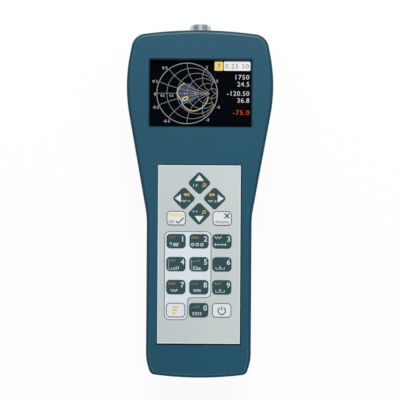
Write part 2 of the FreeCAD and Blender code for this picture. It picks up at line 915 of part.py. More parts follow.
def cross_recess(x, y, low, high, reach, width):
    """Cross cut for a screwdriver."""
    across = box(x - reach, x + reach, y - width / 2.0, y + width / 2.0, low, high)
    along = box(x - width / 2.0, x + width / 2.0, y - reach, y + reach, low, high)
    return across.fuse(along)


def case_screws():
    """Six screws that hold the two covers together."""
    screws = []
    for x, y in both_places(case_screw_places):
        head_low = case_screw_seat - case_screw_head_height
        head = post(case_screw_head_radius, x, y, head_low, case_screw_seat)
        end = case_screw_seat + case_screw_length
        shaft = post(case_screw_radius, x, y, case_screw_seat, end)
        cut_end = head_low + case_screw_cross_depth
        reach = case_screw_cross_reach
        recess = cross_recess(x, y, head_low, cut_end, reach, case_screw_cross_width)
        screws.append(head.fuse(shaft).cut(recess).removeSplitter())
    return Part.makeCompound(screws)


def board_screws():
    """Four screws that hold the board to its stand-offs."""
    screws = []
    for x, y in both_places(board_screw_places):
        shaft = post(board_screw_radius, x, y, board_top - board_screw_length, board_top)
        head_top = board_top + board_screw_head_height
        head = post(board_screw_head_radius, x, y, board_top, head_top)
        cut_low = head_top - board_screw_cross_depth
        reach = board_screw_cross_reach
        recess = cross_recess(x, y, cut_low, head_top, reach, board_screw_cross_width)
        screws.append(shaft.fuse(head).cut(recess).removeSplitter())
    return Part.makeCompound(screws)


def cell_is_upright(index):
    """The outer cells point their nub at the head, the middle one at the foot."""
    return index != 1


def battery_cell(index):
    """One cell with its positive nub."""
    x = (index - 1) * cell_pitch
    upper = bay_upper_end - contact_thickness
    lower = bay_lower_end + contact_thickness
    if cell_is_upright(index):
        can = rod(cell_radius, upper - cell_length, upper - cell_nub_height, x, cell_height)
        nub = rod(cell_nub_radius, upper - cell_nub_height, upper, x, cell_height)
    else:
        can = rod(cell_radius, lower + cell_nub_height, lower + cell_length, x, cell_height)
        nub = rod(cell_nub_radius, lower, lower + cell_nub_height, x, cell_height)
    return can.fuse(nub).removeSplitter()


def battery_springs():
    """Conical spring at the flat end of each cell."""
    springs = []
    for index in range(3):
        x = (index - 1) * cell_pitch
        if cell_is_upright(index):
            base = Vec(x, bay_lower_end + contact_thickness, cell_height)
            way = Vec(0.0, 1.0, 0.0)
        else:
            base = Vec(x, bay_upper_end - contact_thickness, cell_height)
            way = Vec(0.0, -1.0, 0.0)
        outer = Part.makeCone(spring_base_radius, spring_tip_radius, spring_length, base, way)
        inner = Part.makeCone(
            spring_base_radius - spring_wire,
            spring_tip_radius - spring_wire,
            spring_length,
            base,
            way,
        )
        springs.append(outer.cut(inner))
    return Part.makeCompound(springs)


def contact_tabs():
    """X and the Y limits of the two tabs that rise to the board."""
    upper_tab = (-cell_pitch, bay_upper_end - contact_thickness, bay_upper_end)
    lower_tab = (cell_pitch, bay_lower_end, bay_lower_end + contact_thickness)
    return [upper_tab, lower_tab]


def battery_contacts():
    """Spring-metal plates at both ends of the bay, two of them with a tab to the board."""
    low = cell_height - contact_height / 2.0
    high = cell_height + contact_height / 2.0
    half = contact_width / 2.0
    upper = (bay_upper_end - contact_thickness, bay_upper_end)
    lower = (bay_lower_end, bay_lower_end + contact_thickness)
    plates = [
        box(-cell_pitch - half, -cell_pitch + half, upper[0], upper[1], low, high),
        box(-half, cell_pitch + half, upper[0], upper[1], low, high),
        box(-cell_pitch - half, half, lower[0], lower[1], low, high),
        box(cell_pitch - half, cell_pitch + half, lower[0], lower[1], low, high),
    ]
    tab_half = contact_tab_width / 2.0
    tabs = []
    for x, y_low, y_high in contact_tabs():
        tabs.append(box(x - tab_half, x + tab_half, y_low, y_high, high, board_height))
    plates[0] = plates[0].fuse(tabs[0]).removeSplitter()
    plates[3] = plates[3].fuse(tabs[1]).removeSplitter()
    return Part.makeCompound(plates)


def build():
    """Every sub-part by its name."""
    parts = {
        "front_cover": front_cover(),
        "rear_cover": rear_cover(),
        "battery_door": battery_door(),
        "display_window": display_window(),
        "window_gasket": window_gasket(),
        "display_panel": display_panel(),
        "display_frame": display_frame(),
        "display_flex": display_flex(),
        "display_connector": board_connector(flex_width, flex_thickness, screen_x, flex_at),
        "keypad_overlay": keypad_overlay(),
        "keypad_spacer": keypad_spacer(),
        "keypad_domes": keypad_domes(),
        "keypad_circuit": keypad_circuit(),
        "keypad_connector": board_connector(tail_width, tail_thickness, keypad_x, tail_at),
        "main_board": main_board(),
        "rf_shield": rf_shield(),
        "board_chips": board_chips(),
        "buzzer": buzzer(),
        "usb_socket": usb_socket(),
        "usb_tongue": usb_tongue(),
        "antenna_socket_body": socket_body(),
        "antenna_socket_insulator": socket_insulator(),
        "antenna_socket_contact": socket_contact(),
        "antenna_socket_ring": socket_ring(),
        "antenna_socket_screws": socket_screws(),
        "case_screws": case_screws(),
        "board_screws": board_screws(),
        "battery_springs": battery_springs(),
        "battery_contacts": battery_contacts(),
    }
    for index in range(3):
        parts["battery_cell_%d" % (index + 1)] = battery_cell(index)
    for name, is_diamond, x, y in key_places():
        parts["key_" + name] = key(is_diamond, x, y)
    return parts


os.makedirs("parts", exist_ok=True)
for name, shape in build().items():
    shape.exportStep("parts/" + name + ".step")
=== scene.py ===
# %% [markdown]
# # A handheld antenna analyzer, dressed for the camera
# The CAD model is already packed: every solid has its place, its name and the body that it moves with.
# This lesson loads it as a fixed frame, works in its metres, and gives each part the surface that it has
# on the real instrument: moulded plastic, printed film, a lit screen, plated metal.

# %% Load the frame
import json
import math

import bmesh
import bpy
from mathutils import Matrix, Vector


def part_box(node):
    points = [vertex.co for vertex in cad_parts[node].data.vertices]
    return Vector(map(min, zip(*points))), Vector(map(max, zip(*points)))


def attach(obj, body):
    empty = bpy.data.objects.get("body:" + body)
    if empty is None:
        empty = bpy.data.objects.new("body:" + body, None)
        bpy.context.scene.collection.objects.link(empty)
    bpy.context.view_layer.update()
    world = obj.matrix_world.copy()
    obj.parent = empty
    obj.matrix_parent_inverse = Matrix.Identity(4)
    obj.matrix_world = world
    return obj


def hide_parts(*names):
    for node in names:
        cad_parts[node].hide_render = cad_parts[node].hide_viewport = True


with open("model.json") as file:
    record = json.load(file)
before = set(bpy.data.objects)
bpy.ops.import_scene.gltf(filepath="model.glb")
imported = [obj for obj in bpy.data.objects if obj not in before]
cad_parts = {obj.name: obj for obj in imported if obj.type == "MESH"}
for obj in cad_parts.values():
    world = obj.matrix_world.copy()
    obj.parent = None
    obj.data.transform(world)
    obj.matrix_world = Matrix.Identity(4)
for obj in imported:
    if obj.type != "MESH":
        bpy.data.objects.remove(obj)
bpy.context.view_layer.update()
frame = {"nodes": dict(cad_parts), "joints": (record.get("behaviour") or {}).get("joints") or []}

MM = 0.001

# %% [markdown]
# ## Camera
# The instrument is photographed straight from above, a third of a degree out of square. Perspective
# matters even so: the socket at the far end sits lower than the face, and the screen lies behind its
# window. The camera's height came from how much smaller such deeper parts look, and its lens from the
# keys, which are 16 mm apart.

# %% Camera
camera_place = Vector((0.00047, 0.0025, 0.514))
camera_roll = math.radians(0.36)
focal_pixels = 667.0
picture_side = 400.0


def link(thing):
    """Puts an object into the scene."""
    bpy.context.scene.collection.objects.link(thing)


lens = bpy.data.cameras.new("camera")
lens.sensor_width = 36.0
lens.lens = focal_pixels * lens.sensor_width / picture_side
camera = bpy.data.objects.new("camera", lens)
camera.location = camera_place
camera.rotation_euler = (0.0, 0.0, camera_roll)
link(camera)
bpy.context.scene.camera = camera
bpy.context.scene.view_settings.view_transform = "Standard"


def seen_at(column, row, height):
    """Where the camera's ray through a picture point meets a level, as x and y in millimetres."""
    depth = (camera_place.z - height * MM) / focal_pixels
    across, up = (column - picture_side / 2.0) * depth, (picture_side / 2.0 - row) * depth
    x = camera_place.x + across * math.cos(camera_roll) - up * math.sin(camera_roll)
    y = camera_place.y + across * math.sin(camera_roll) + up * math.cos(camera_roll)
    return x / MM, y / MM


print("lens: %.2f mm, picture centre at %s mm" % (lens.lens, seen_at(200, 200, 50)))

# %% [markdown]
# ## Writing shader maths as expressions
# A procedural material is arithmetic on sockets. Added node by node it becomes unreadable, so a small
# class wraps one socket, and Python's operators add the Math nodes. Every other node comes from one
# method, which takes the node's type, its settings, and the values or links of its inputs.

# %% Sockets as values, node trees as graphs
def operator(operation):
    def apply(self, other):
        return self.graph.maths(operation, self, other)
    return apply


class Wire:
    """An output socket that takes part in expressions."""

    def __init__(self, graph, socket):
        self.graph = graph
        self.socket = socket

    __add__ = operator("ADD")
    __sub__ = operator("SUBTRACT")
    __mul__ = operator("MULTIPLY")


class Graph:
    """A node tree, for a material or for geometry."""

    def __init__(self, tree):
        self.tree = tree

    def node(self, kind, settings=None, inputs=None, output=0):
        made = self.tree.nodes.new(kind)
        for key, value in (settings or {}).items():
            if key == "stops":
                for index, (place, colour) in enumerate(value):
                    if index >= len(made.color_ramp.elements):
                        made.color_ramp.elements.new(1.0)
                    made.color_ramp.elements[index].position = place
                    made.color_ramp.elements[index].color = colour
            else:
                setattr(made, key, value)
        for key, value in (inputs or {}).items():
            if isinstance(value, Wire):
                self.tree.links.new(value.socket, made.inputs[key])
            else:
                made.inputs[key].default_value = value
        return Wire(self, made.outputs[output]) if made.outputs else made

    def maths(self, operation, *values):
        return self.node("ShaderNodeMath", {"operation": operation}, dict(enumerate(values)))

    def vector(self, operation, *values):
        kind = {"operation": operation}
        return self.node("ShaderNodeVectorMath", kind, dict(enumerate(values)))


# %% [markdown]
# ## One class for every finish
# Each material starts the same way: a principled shader, whose steady numbers are set on its own
# sockets, and the object coordinates. The CAD is in metres, so a pattern's scale is one divided by the
# size of its grain: 3000 makes features a third of a millimetre wide.

# %% Finishes
def linear(red, green, blue):
    """A screen colour, 0 to 255, as the linear colour that a shader wants."""
    parts = []
    for part in (red, green, blue):
        part /= 255.0
        parts.append(part / 12.92 if part <= 0.04045 else ((part + 0.055) / 1.055) ** 2.4)
    return (*parts, 1.0)


def toned(colour, factor):
    """A colour made darker or lighter."""
    return tuple(min(part * factor, 1.0) for part in colour[:3]) + (1.0,)


class Finish(Graph):
    """A material: a principled shader with steady values, to which patterns are added."""

    def __init__(self, name, **steady):
        self.material = bpy.data.materials.new(name)
        self.material.use_nodes = True
        super().__init__(self.material.node_tree)
        self.tree.nodes.clear()
        values = {key.replace("_", " ").title(): value for key, value in steady.items()}
        values = {key.replace("Ior", "IOR"): value for key, value in values.items()}
        surface = self.node("ShaderNodeBsdfPrincipled", None, values)
        self.shader = surface.socket.node
        self.node("ShaderNodeOutputMaterial", None, {"Surface": surface})
        self.place = self.node("ShaderNodeTexCoord", None, None, "Object")
        split = self.node("ShaderNodeSeparateXYZ", None, {0: self.place}).socket.node
        self.x, self.y, self.z = [Wire(self, socket) for socket in split.outputs]

    def set(self, **links):
        for key, value in links.items():
            self.tree.links.new(value.socket, self.shader.inputs[key.replace("_", " ").title()])
        return self

    def noise(self, scale, detail=2.0, roughness=0.5, place=None):
        values = {"Vector": place or self.place, "Scale": scale, "Detail": detail}
        values["Roughness"] = roughness
        return self.node("ShaderNodeTexNoise", None, values)

    def patches(self, scale, detail=2.0, start=0.0, end=1.0):
        """Soft patches of two values, eased into each other."""
        return self.ease(self.noise(scale, detail), 0.3, 0.7, start, end)

    def cells(self, scale, feature="F1"):
        values = {"Vector": self.place, "Scale": scale}
        return self.node("ShaderNodeTexVoronoi", {"feature": feature}, values, "Distance")

    def stripes(self, along, pitch):
        """A wave from -1 to 1 that repeats along an axis, its pitch in millimetres."""
        return self.maths("SINE", along * (2.0 * math.pi / (pitch * MM)))

    def ease(self, value, low, high, start=0.0, end=1.0):
        """A value eased from one number to another while it crosses a range."""
        kind = {"interpolation_type": "SMOOTHSTEP"}
        return self.node("ShaderNodeMapRange", kind, {0: value, 1: low, 2: high, 3: start, 4: end})

    def mix(self, share, first, second):
        return self.node("ShaderNodeMix", {"data_type": "RGBA"}, {0: share, 6: first, 7: second}, 2)

    def bump(self, height, depth):
        """Relief from a height of 0 to 1, its depth in millimetres."""
        return self.node("ShaderNodeBump", None, {"Distance": depth * MM, "Height": height})

    def rounded_box(self, left, right, foot, top, radius):
        """Distance in metres to a rounded box in the face, its sides in millimetres, negative inside."""
        middle_x, middle_y = (left + right) / 2.0 * MM, (foot + top) / 2.0 * MM
        over_x = self.maths("ABSOLUTE", self.x - middle_x) - ((right - left) / 2.0 - radius) * MM
        over_y = self.maths("ABSOLUTE", self.y - middle_y) - ((top - foot) / 2.0 - radius) * MM
        side_x = self.maths("MAXIMUM", over_x, 0.0)
        side_y = self.maths("MAXIMUM", over_y, 0.0)
        corner = self.maths("SQRT", side_x * side_x + side_y * side_y)
        inside = self.maths("MINIMUM", self.maths("MAXIMUM", over_x, over_y), 0.0)
        return corner + inside - radius * MM


def moulded(name, colour, grain=0.25, depth=0.006, rough=0.45, drift=0.06, **steady):
    """Plastic from a textured mould: fine grain, a slow drift of tone, gloss that isn't even."""
    made = Finish(name, **steady)
    tone = made.mix(made.patches(35.0, 3.0), toned(colour, 1.0 - drift), toned(colour, 1.0 + drift))
    gloss = made.patches(180.0, 2.0, rough - 0.04, rough + 0.05)
    pores = made.noise(1000.0 / grain, 2.0, 0.6)
    made.set(Base_Color=tone, Roughness=gloss, Normal=made.bump(pores, depth))
    return made


def metal(name, colour, rough=0.28, depth=0.002, scale=(900.0, 60.0, 900.0), tarnish=0.25):
    """Worked metal: fine lines drawn along one direction, and duller patches."""
    made = Finish(name, metallic=1.0)
    lines = made.noise(1.0, 2.0, place=made.vector("MULTIPLY", made.place, scale))
    dull = made.ease(made.noise(420.0, 4.0), 0.42, 0.75)
    made.set(Base_Color=made.mix(dull, colour, toned(colour, 1.0 - tarnish)))
    made.set(Roughness=made.ease(lines, 0.2, 0.8, rough - 0.06, rough + 0.1))
    made.set(Normal=made.bump(lines, depth))
    return made


print("helpers for finishes are ready")

# %% [markdown]
# ## Light and floor
# The photograph is lit by a long soft source beyond the head: the screen's lower bevel is pale, its upper
# one dark, and a thin highlight runs along the crown. The sky gives about half of the light and the lamp
# the other half, and together they light a level surface so that a colour comes out about as it is
# written. The sky is bright overhead, dim halfway down and white at the horizon, which is what draws a
# white stripe between grey flanks on the round, plated socket. The floor glows a little of its own, since
# the photograph's ground is white without a shadow to speak of, and it lets a look from below through.

# %% Sky, lamp and floor
sky = bpy.data.worlds.new("studio")
sky.use_nodes = True
bpy.context.scene.world = sky
above = Graph(sky.node_tree)
above.tree.nodes.clear()
aim = above.node("ShaderNodeTexCoord", None, None, "Generated")
height_of_aim = above.node("ShaderNodeSeparateXYZ", None, {0: aim}, 2)
# The sine of the elevation, and how bright the sky is there
sky_bands = [(0.0, 1.0), (0.07, 0.9), (0.2, 0.42), (0.34, 0.28), (0.88, 0.42), (0.96, 1.0)]
stops = [(height, (grey, grey, grey, 1.0)) for height, grey in sky_bands]
level = above.node("ShaderNodeValToRGB", {"stops": stops}, {0: height_of_aim})
above.node("ShaderNodeOutputWorld", None, {
    "Surface": above.node("ShaderNodeBackground", None, {"Color": level, "Strength": 1.0}),
})

lamp_data = bpy.data.lights.new("soft_box", "AREA")
lamp_data.shape = "RECTANGLE"
lamp_data.size = 0.9
lamp_data.size_y = 0.6
lamp_data.energy = 33.0
lamp = bpy.data.objects.new("soft_box", lamp_data)
lamp.location = (0.1, 1.5, 1.55)
lamp.rotation_euler = (Vector((0.0, 0.0, 0.02)) - lamp.location).to_track_quat("-Z", "Y").to_euler()
link(lamp)

floor_mesh = bpy.data.meshes.new("floor")
reach, drop = 6.0, -0.0002
floor_corners = [(x * reach, y * reach, drop) for x, y in ((-1, -1), (1, -1), (1, 1), (-1, 1))]
floor_mesh.from_pydata(floor_corners, [], [(0, 1, 2, 3)])
floor = bpy.data.objects.new("floor", floor_mesh)
link(floor)
paper = bpy.data.materials.new("paper")
paper.use_nodes = True
floor_mesh.materials.append(paper)
ground = Graph(paper.node_tree)
ground.tree.nodes.clear()
paper_grey, own_light = 0.96, 0.92
matte = ground.node("ShaderNodeBsdfDiffuse", None, {"Color": (paper_grey, paper_grey, paper_grey, 1.0)})
white = ground.node("ShaderNodeEmission", None, {"Color": (1.0, 1.0, 1.0, 1.0), "Strength": 1.0})
ray = ground.node("ShaderNodeLightPath").socket.node
seen = Wire(ground, ray.outputs["Is Camera Ray"]) + Wire(ground, ray.outputs["Is Glossy Ray"])
seen = ground.maths("MINIMUM", seen + Wire(ground, ray.outputs["Is Transmission Ray"]), 1.0)
front = ground.node("ShaderNodeMixShader", None, {0: seen * own_light, 1: matte, 2: white})
from_below = ground.node("ShaderNodeNewGeometry", None, None, "Backfacing")
window = ground.node("ShaderNodeBsdfTransparent", None, {"Color": (1.0, 1.0, 1.0, 1.0)})
one_sided = ground.node("ShaderNodeMixShader", None, {0: from_below, 1: front, 2: window})
ground.node("ShaderNodeOutputMaterial", None, {"Surface": one_sided})
print("sky, lamp and floor are in place")

# %% [markdown]
# ## Geometry Nodes as a workshop
# What follows a path or repeats is made by a node tree: a coil for springs and thread, a ribbon for
# printed lines. A tree has named inputs and is run on a throw-away object, and what it makes is kept as
# a plain mesh. A modifier's inputs go by their sockets' identifiers, which the tree's interface gives.

# %% Trees that are run once
def evaluated(thing):
    """The mesh that an object's modifiers leave; the object itself goes."""
    link(thing)
    graph = bpy.context.evaluated_depsgraph_get()
    mesh = bpy.data.meshes.new_from_object(thing.evaluated_get(graph), depsgraph=graph)
    bpy.data.objects.remove(thing)
    return mesh


class Recipe(Graph):
    """A Geometry Nodes tree with named inputs."""

    def __init__(self, name, **kinds):
        super().__init__(bpy.data.node_groups.new(name, "GeometryNodeTree"))
        face = self.tree.interface
        face.new_socket("Geometry", in_out="OUTPUT", socket_type="NodeSocketGeometry")
        face.new_socket("Geometry", in_out="INPUT", socket_type="NodeSocketGeometry")
        face.new_socket("Material", in_out="INPUT", socket_type="NodeSocketMaterial")
        for key, kind in kinds.items():
            face.new_socket(key, in_out="INPUT", socket_type="NodeSocket" + kind)
        entry = self.node("NodeGroupInput").socket.node
        self.given = {socket.name: Wire(self, socket) for socket in entry.outputs if socket.name}

    def close(self, geometry):
        real = self.node("GeometryNodeRealizeInstances", None, {0: geometry})
        values = {"Geometry": real, "Material": self.given["Material"]}
        painted = self.node("GeometryNodeSetMaterial", None, values)
        self.node("NodeGroupOutput", None, {0: painted})
        return self

    def run(self, material, base=None, **values):
        thing = bpy.data.objects.new("blank", base or bpy.data.meshes.new("blank"))
        step = thing.modifiers.new("recipe", "NODES")
        step.node_group = self.tree
        values["Material"] = material
        for item in self.tree.interface.items_tree:
            if item.in_out == "INPUT" and item.name in values:
                step[item.identifier] = values[item.name]
        return evaluated(thing)


coil = Recipe("coil", Turns="Float", Steps="Int", Start="Float", End="Float", Length="Float",
              Wire="Float", Sides="Int")
turns = coil.node("GeometryNodeCurveSpiral", None, {
    "Resolution": coil.given["Steps"], "Rotations": coil.given["Turns"],
    "Start Radius": coil.given["Start"], "End Radius": coil.given["End"],
    "Height": coil.given["Length"]})
upright = coil.node("GeometryNodeSetCurveNormal", {"mode": "Z_UP"}, {"Curve": turns})
section = coil.node("GeometryNodeCurvePrimitiveCircle", None, {
    "Resolution": coil.given["Sides"], "Radius": coil.given["Wire"]})
coil.close(coil.node("GeometryNodeCurveToMesh", None, {
    "Curve": upright, "Profile Curve": section, "Fill Caps": True}))

ribbon = Recipe("ribbon", Width="Float", Thickness="Float")
path = ribbon.node("GeometryNodeMeshToCurve", None, {"Mesh": ribbon.given["Geometry"]})
flat_path = ribbon.node("GeometryNodeSetCurveNormal", {"mode": "Z_UP"}, {"Curve": path})
strip = ribbon.node("GeometryNodeCurvePrimitiveQuadrilateral", {"mode": "RECTANGLE"}, {
    "Width": ribbon.given["Width"], "Height": ribbon.given["Thickness"]})
ribbon.close(ribbon.node("GeometryNodeCurveToMesh", None, {
    "Curve": flat_path, "Profile Curve": strip, "Fill Caps": True}))
print("recipes:", coil.tree.name, ribbon.tree.name)

# %% [markdown]
# ## Shapes in plain mesh code
# Most pieces are stacks of closed loops: a key is a rounded outline that steps in as it rises, and a
# lathe-turned part is a circle that changes its radius. One function joins such loops, and a few more
# draw the outlines, the signs and the numbers.

# %% Mesh helpers
def rounded_loop(half_width, half_length, radius, height, x=0.0, y=0.0, turn=0.0, steps=8):
    """Corner points of a rounded rectangle at one height, in millimetres."""
    points = []
    for quarter, (side_x, side_y) in enumerate(((1, 1), (-1, 1), (-1, -1), (1, -1))):
        for step in range(steps + 1):
            angle = math.radians(90.0 * (quarter + step / steps))
            across = side_x * (half_width - radius) + radius * math.cos(angle)
            along = side_y * (half_length - radius) + radius * math.sin(angle)
            bend = math.radians(turn)
            points.append(Vector((x + across * math.cos(bend) - along * math.sin(bend),
                                  y + across * math.sin(bend) + along * math.cos(bend), height)))
    return points


def stack(loops, finish_of_band=None, closed=False):
    """Loops joined into a closed skin; each band's finish has a number, and the last is the top's."""
    shape = bmesh.new()
    rings = [[shape.verts.new(point * MM) for point in loop] for loop in loops]
    bands = list(zip(rings, rings[1:] + rings[:1] if closed else rings[1:]))
    for index, (low, high) in enumerate(bands):
        for corner in range(len(low)):
            after = (corner + 1) % len(low)
            face = shape.faces.new((low[corner], low[after], high[after], high[corner]))
            face.material_index = finish_of_band[index] if finish_of_band else 0
    if not closed:
        shape.faces.new(list(reversed(rings[0])))
        lid = shape.faces.new(rings[-1])
        lid.material_index = finish_of_band[-1] if finish_of_band else 0
    return shape


def turned(profile, axis_x, axis_z, sides=96):
    """A closed profile of radius and y turned about an axis along y, in millimetres."""
    loops = []
    for side in range(sides):
        angle = 2.0 * math.pi * side / sides
        across, up = math.cos(angle), math.sin(angle)
        loops.append([Vector((axis_x + r * across, y, axis_z + r * up)) for r, y in profile])
    return stack(loops, closed=True)


def lines(*paths):
    """Paths of millimetre points as a mesh of bare edges, for the ribbon recipe."""
    mesh = bpy.data.meshes.new("lines")
    points, edges = [], []
    for line, is_closed in paths:
        first = len(points)
        points.extend(Vector(point) * MM for point in line)
        edges.extend((first + i, first + i + 1) for i in range(len(line) - 1))
        if is_closed:
            edges.append((first + len(line) - 1, first))
    mesh.from_pydata(points, edges, [])
    return mesh


def arc(x, y, radius, start, end, height, steps=24):
    """Points along an arc, its angles in degrees."""
    angles = [math.radians(start + (end - start) * step / steps) for step in range(steps + 1)]
    return [(x + radius * math.cos(a), y + radius * math.sin(a), height) for a in angles]


def prism(points, low, high):
    """A flat outline given a thickness, in millimetres."""
    return stack([[Vector((x, y, height)) for x, y in points] for height in (low, high)])


def corners_of(mesh):
    """A mesh's lowest and highest corner."""
    low = Vector([min(v.co[i] for v in mesh.vertices) for i in range(3)])
    high = Vector([max(v.co[i] for v in mesh.vertices) for i in range(3)])
    return low, high


def number(text, tall, x, y, level, weight=0.0, align="CENTER", width=None, spread=1.0):
    """A printed number: its digits' height, the middle of its box and its level, in millimetres."""
    words = bpy.data.curves.new("number", "FONT")
    words.body = text
    words.size = 1.0
    words.extrude = 0.01
    words.offset = weight
    words.space_character = spread
    words.resolution_u = 3
    mesh = evaluated(bpy.data.objects.new("number", words))
    low, high = corners_of(mesh)
    grow = tall / (high.y - low.y)
    stretch = width / (high.x - low.x) if width else grow
    across = {"LEFT": low.x, "CENTER": (low.x + high.x) / 2.0, "RIGHT": high.x}[align]
    middle = Vector((across, (low.y + high.y) / 2.0, low.z))
    grown = Matrix.Diagonal((stretch * MM, grow * MM, 0.02 * MM / (high.z - low.z), 1.0))
    mesh.transform(Matrix.Translation(Vector((x, y, level)) * MM) @ grown @ Matrix.Translation(-middle))
    return mesh


class Heap:
    """Meshes gathered into one, each with its finish."""

    def __init__(self):
        self.shape = bmesh.new()
        self.materials = []

    def slot_of(self, material):
        if material not in self.materials:
            self.materials.append(material)
        return self.materials.index(material)

    def add(self, source, *materials):
        """Adds a mesh or a bmesh; its own finish numbers are looked up in the materials given."""
        mesh = source
        if isinstance(source, bmesh.types.BMesh):
            mesh = bpy.data.meshes.new("part")
            source.to_mesh(mesh)
            source.free()
        already = len(self.shape.faces)
        self.shape.from_mesh(mesh)
        self.shape.faces.ensure_lookup_table()
        for face in self.shape.faces[already:]:
            chosen = materials[min(face.material_index, len(materials) - 1)]
            face.material_index = self.slot_of(chosen)
        bpy.data.meshes.remove(mesh)
        return self

    def stroke(self, material, width, thickness, *paths):
        """Adds ribbons along paths, their width and thickness in millimetres."""
        made = ribbon.run(material, lines(*paths), Width=width * MM, Thickness=thickness * MM)
        return self.add(made, material)

    def mesh(self, name, angle=35.0):
        """The gathered mesh, smooth where its faces meet at less than the angle."""
        for edge in self.shape.edges:
            meets = len(edge.link_faces) == 2
            edge.smooth = meets and edge.calc_face_angle(0.0) < math.radians(angle)
        for face in self.shape.faces:
            face.smooth = True
        made = bpy.data.meshes.new(name)
        self.shape.to_mesh(made)
        self.shape.free()
        for material in self.materials:
            made.materials.append(material)
        return made


piece_count = 0


def piece(name, mesh, body, slot, *nodes):
    """Puts a mesh into the scene: the body it rides on and the nodes it stands for; the finish slot is not
    used.
    """
    global piece_count
    thing = bpy.data.objects.new(name, mesh)
    link(thing)
    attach(thing, body)
    if nodes:
        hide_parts(*nodes)
    piece_count += 1


def balanced(mesh):
    """The mesh with normals weighted by face area, which keeps big flat faces flat up to a round edge."""
    thing = bpy.data.objects.new("blank", mesh)
    thing.modifiers.new("balance", "WEIGHTED_NORMAL").keep_sharp = True
    return evaluated(thing)


weld, sliver, smooth_below = 0.002, 0.0002, 32.0


def smoothed(node, body, slot, finish):
    """A CAD node's own shape with its loose triangles merged and its round faces shaded smooth."""
    name = node + "_smooth"
    heap = Heap().add(frame["nodes"][node].data.copy(), finish.material)
    bmesh.ops.remove_doubles(heap.shape, verts=heap.shape.verts, dist=weld * MM)
    bmesh.ops.dissolve_degenerate(heap.shape, edges=heap.shape.edges, dist=sliver * MM)
    piece(name, balanced(heap.mesh(name, smooth_below)), body, slot, node)


print("mesh helpers are ready")

# %% [markdown]
# ## The case
# Two moulded halves in petrol blue. The plastic has a fine spark-eroded grain, which keeps reflections
# soft. A painted highlight makes the edge next to the face paler, most at the head and the foot, and a
# little smoother there; the flank below it is darker as painted shade. Both masks come from the surface's
# own direction: the walls face sideways, the face points up, and only the rounding between them points
# halfway. The film lies in a recess whose narrow gap shows black, so a third mask darkens it round the film
# and near the face as painted shade.

# %% Case plastic
screen_low, screen_high = (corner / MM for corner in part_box("display_window"))
film_low, film_high = (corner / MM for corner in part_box("keypad_overlay"))
face_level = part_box("front_cover")[1].z / MM


def case_finish(name, colour, rough):
    """The case's plastic, with a painted highlight on its edge, painted shade on its flank and in the
    film's recess.
    """
    made = Finish(name, ior=1.46, specular_ior_level=0.36)
    normal = made.node("ShaderNodeTexCoord", None, None, "Normal")
    lift = made.maths("ABSOLUTE", made.node("ShaderNodeSeparateXYZ", None, {0: normal}, 2))
    # Painted highlight: a pale band on the rounding just next to the face, kept off the screen's bevel,
    # broken by noise, strongest at the head and the foot.
    edge = made.ease(lift, 0.93, 0.985) * made.ease(lift, 0.9985, 0.9999, 1.0, 0.0)
    # Painted shade: the flank below that edge is darkened, and it is also made rougher.
    shaded_flank = made.ease(lift, 0.1, 0.3) * made.ease(lift, 0.9, 0.985, 1.0, 0.0)
    from_screen = made.rounded_box(screen_low.x, screen_high.x, screen_low.y, screen_high.y, 1.0)
    edge = edge * made.ease(from_screen, 0.002, 0.004)    # keeps the screen's bevel clean
    painted_highlight = edge * made.ease(made.noise(60.0, 3.0), 0.25, 0.6, 0.6, 1.0)
    painted_highlight = painted_highlight * made.ease(made.maths("ABSOLUTE", made.y), 0.09, 0.112, 0.25, 1.0)
    base = made.mix(made.patches(14.0), toned(colour, 0.95), toned(colour, 1.05))
    specks = made.ease(made.noise(2600.0, 1.0), 0.35, 0.7, 0.0, 0.12)
    base = made.mix(specks, base, toned(colour, 1.5))
    base = made.mix(shaded_flank * 0.55, base, toned(colour, 0.4))
    base = made.mix(painted_highlight * 0.4, base, linear(84, 124, 140))
    from_film = made.rounded_box(film_low.x, film_high.x, film_low.y, film_high.y, 0.2)
    # Painted shade: the film's recess, round the film and just below the face, darkened nearly to black.
    recess_shade = made.ease(from_film, 0.0011, 0.0013, 1.0, 0.0)
    recess_shade = recess_shade * made.ease(made.z, (face_level - 0.3) * MM, (face_level - 0.05) * MM, 1.0, 0.0)
    recess_shade = recess_shade * made.ease(made.z, (face_level - 3.0) * MM, (face_level - 2.8) * MM)
    made.set(Base_Color=made.mix(recess_shade * 0.95, base, (0.001, 0.003, 0.004, 1.0)))
    gloss = made.patches(90.0, 2.0, rough - 0.03, rough + 0.04)
    made.set(Roughness=gloss + shaded_flank * 0.3 - painted_highlight * 0.06)
    made.set(Normal=made.bump(made.noise(3400.0, 2.0, 0.6), 0.006))
    return made


case_blue = case_finish("case_blue", linear(5, 76, 99), 0.4)
for cover in ("front_cover", "rear_cover"):
    smoothed(cover, "case", "case_shell", case_blue)
smoothed("battery_door", "door", "case_shell", case_finish("door_blue", linear(5, 73, 95), 0.42))
print("case finished; pieces so far:", piece_count)

# %% [markdown]
# ## The keypad film
# One printed polyester sheet lies in the case's recess. It is a cool pale grey with a matt grain, a little
# lighter towards the right as painted light. A painted highlight runs round its cut edge as a bright line,
# and the left-hand keys stand on a slightly bluish panel that a thin line frames. The panel's shape is the
# union of two rounded rectangles, so its mask is the smaller of two distances.

# %% Keypad film
group_top = seen_at(187, 231.5, film_high.z)[1]
group_left = seen_at(164.5, 275, film_high.z)[0]
group_right = seen_at(211.0, 262, film_high.z)[0]
group_step = seen_at(200, 297.6, film_high.z)[1]
group_neck = seen_at(187.3, 308, film_high.z)[0]
group_foot = seen_at(176, 319.7, film_high.z)[1]
group_corner = 3.5
print("panel: x %.1f to %.1f, y %.1f to %.1f mm" % (group_left, group_right, group_foot, group_top))

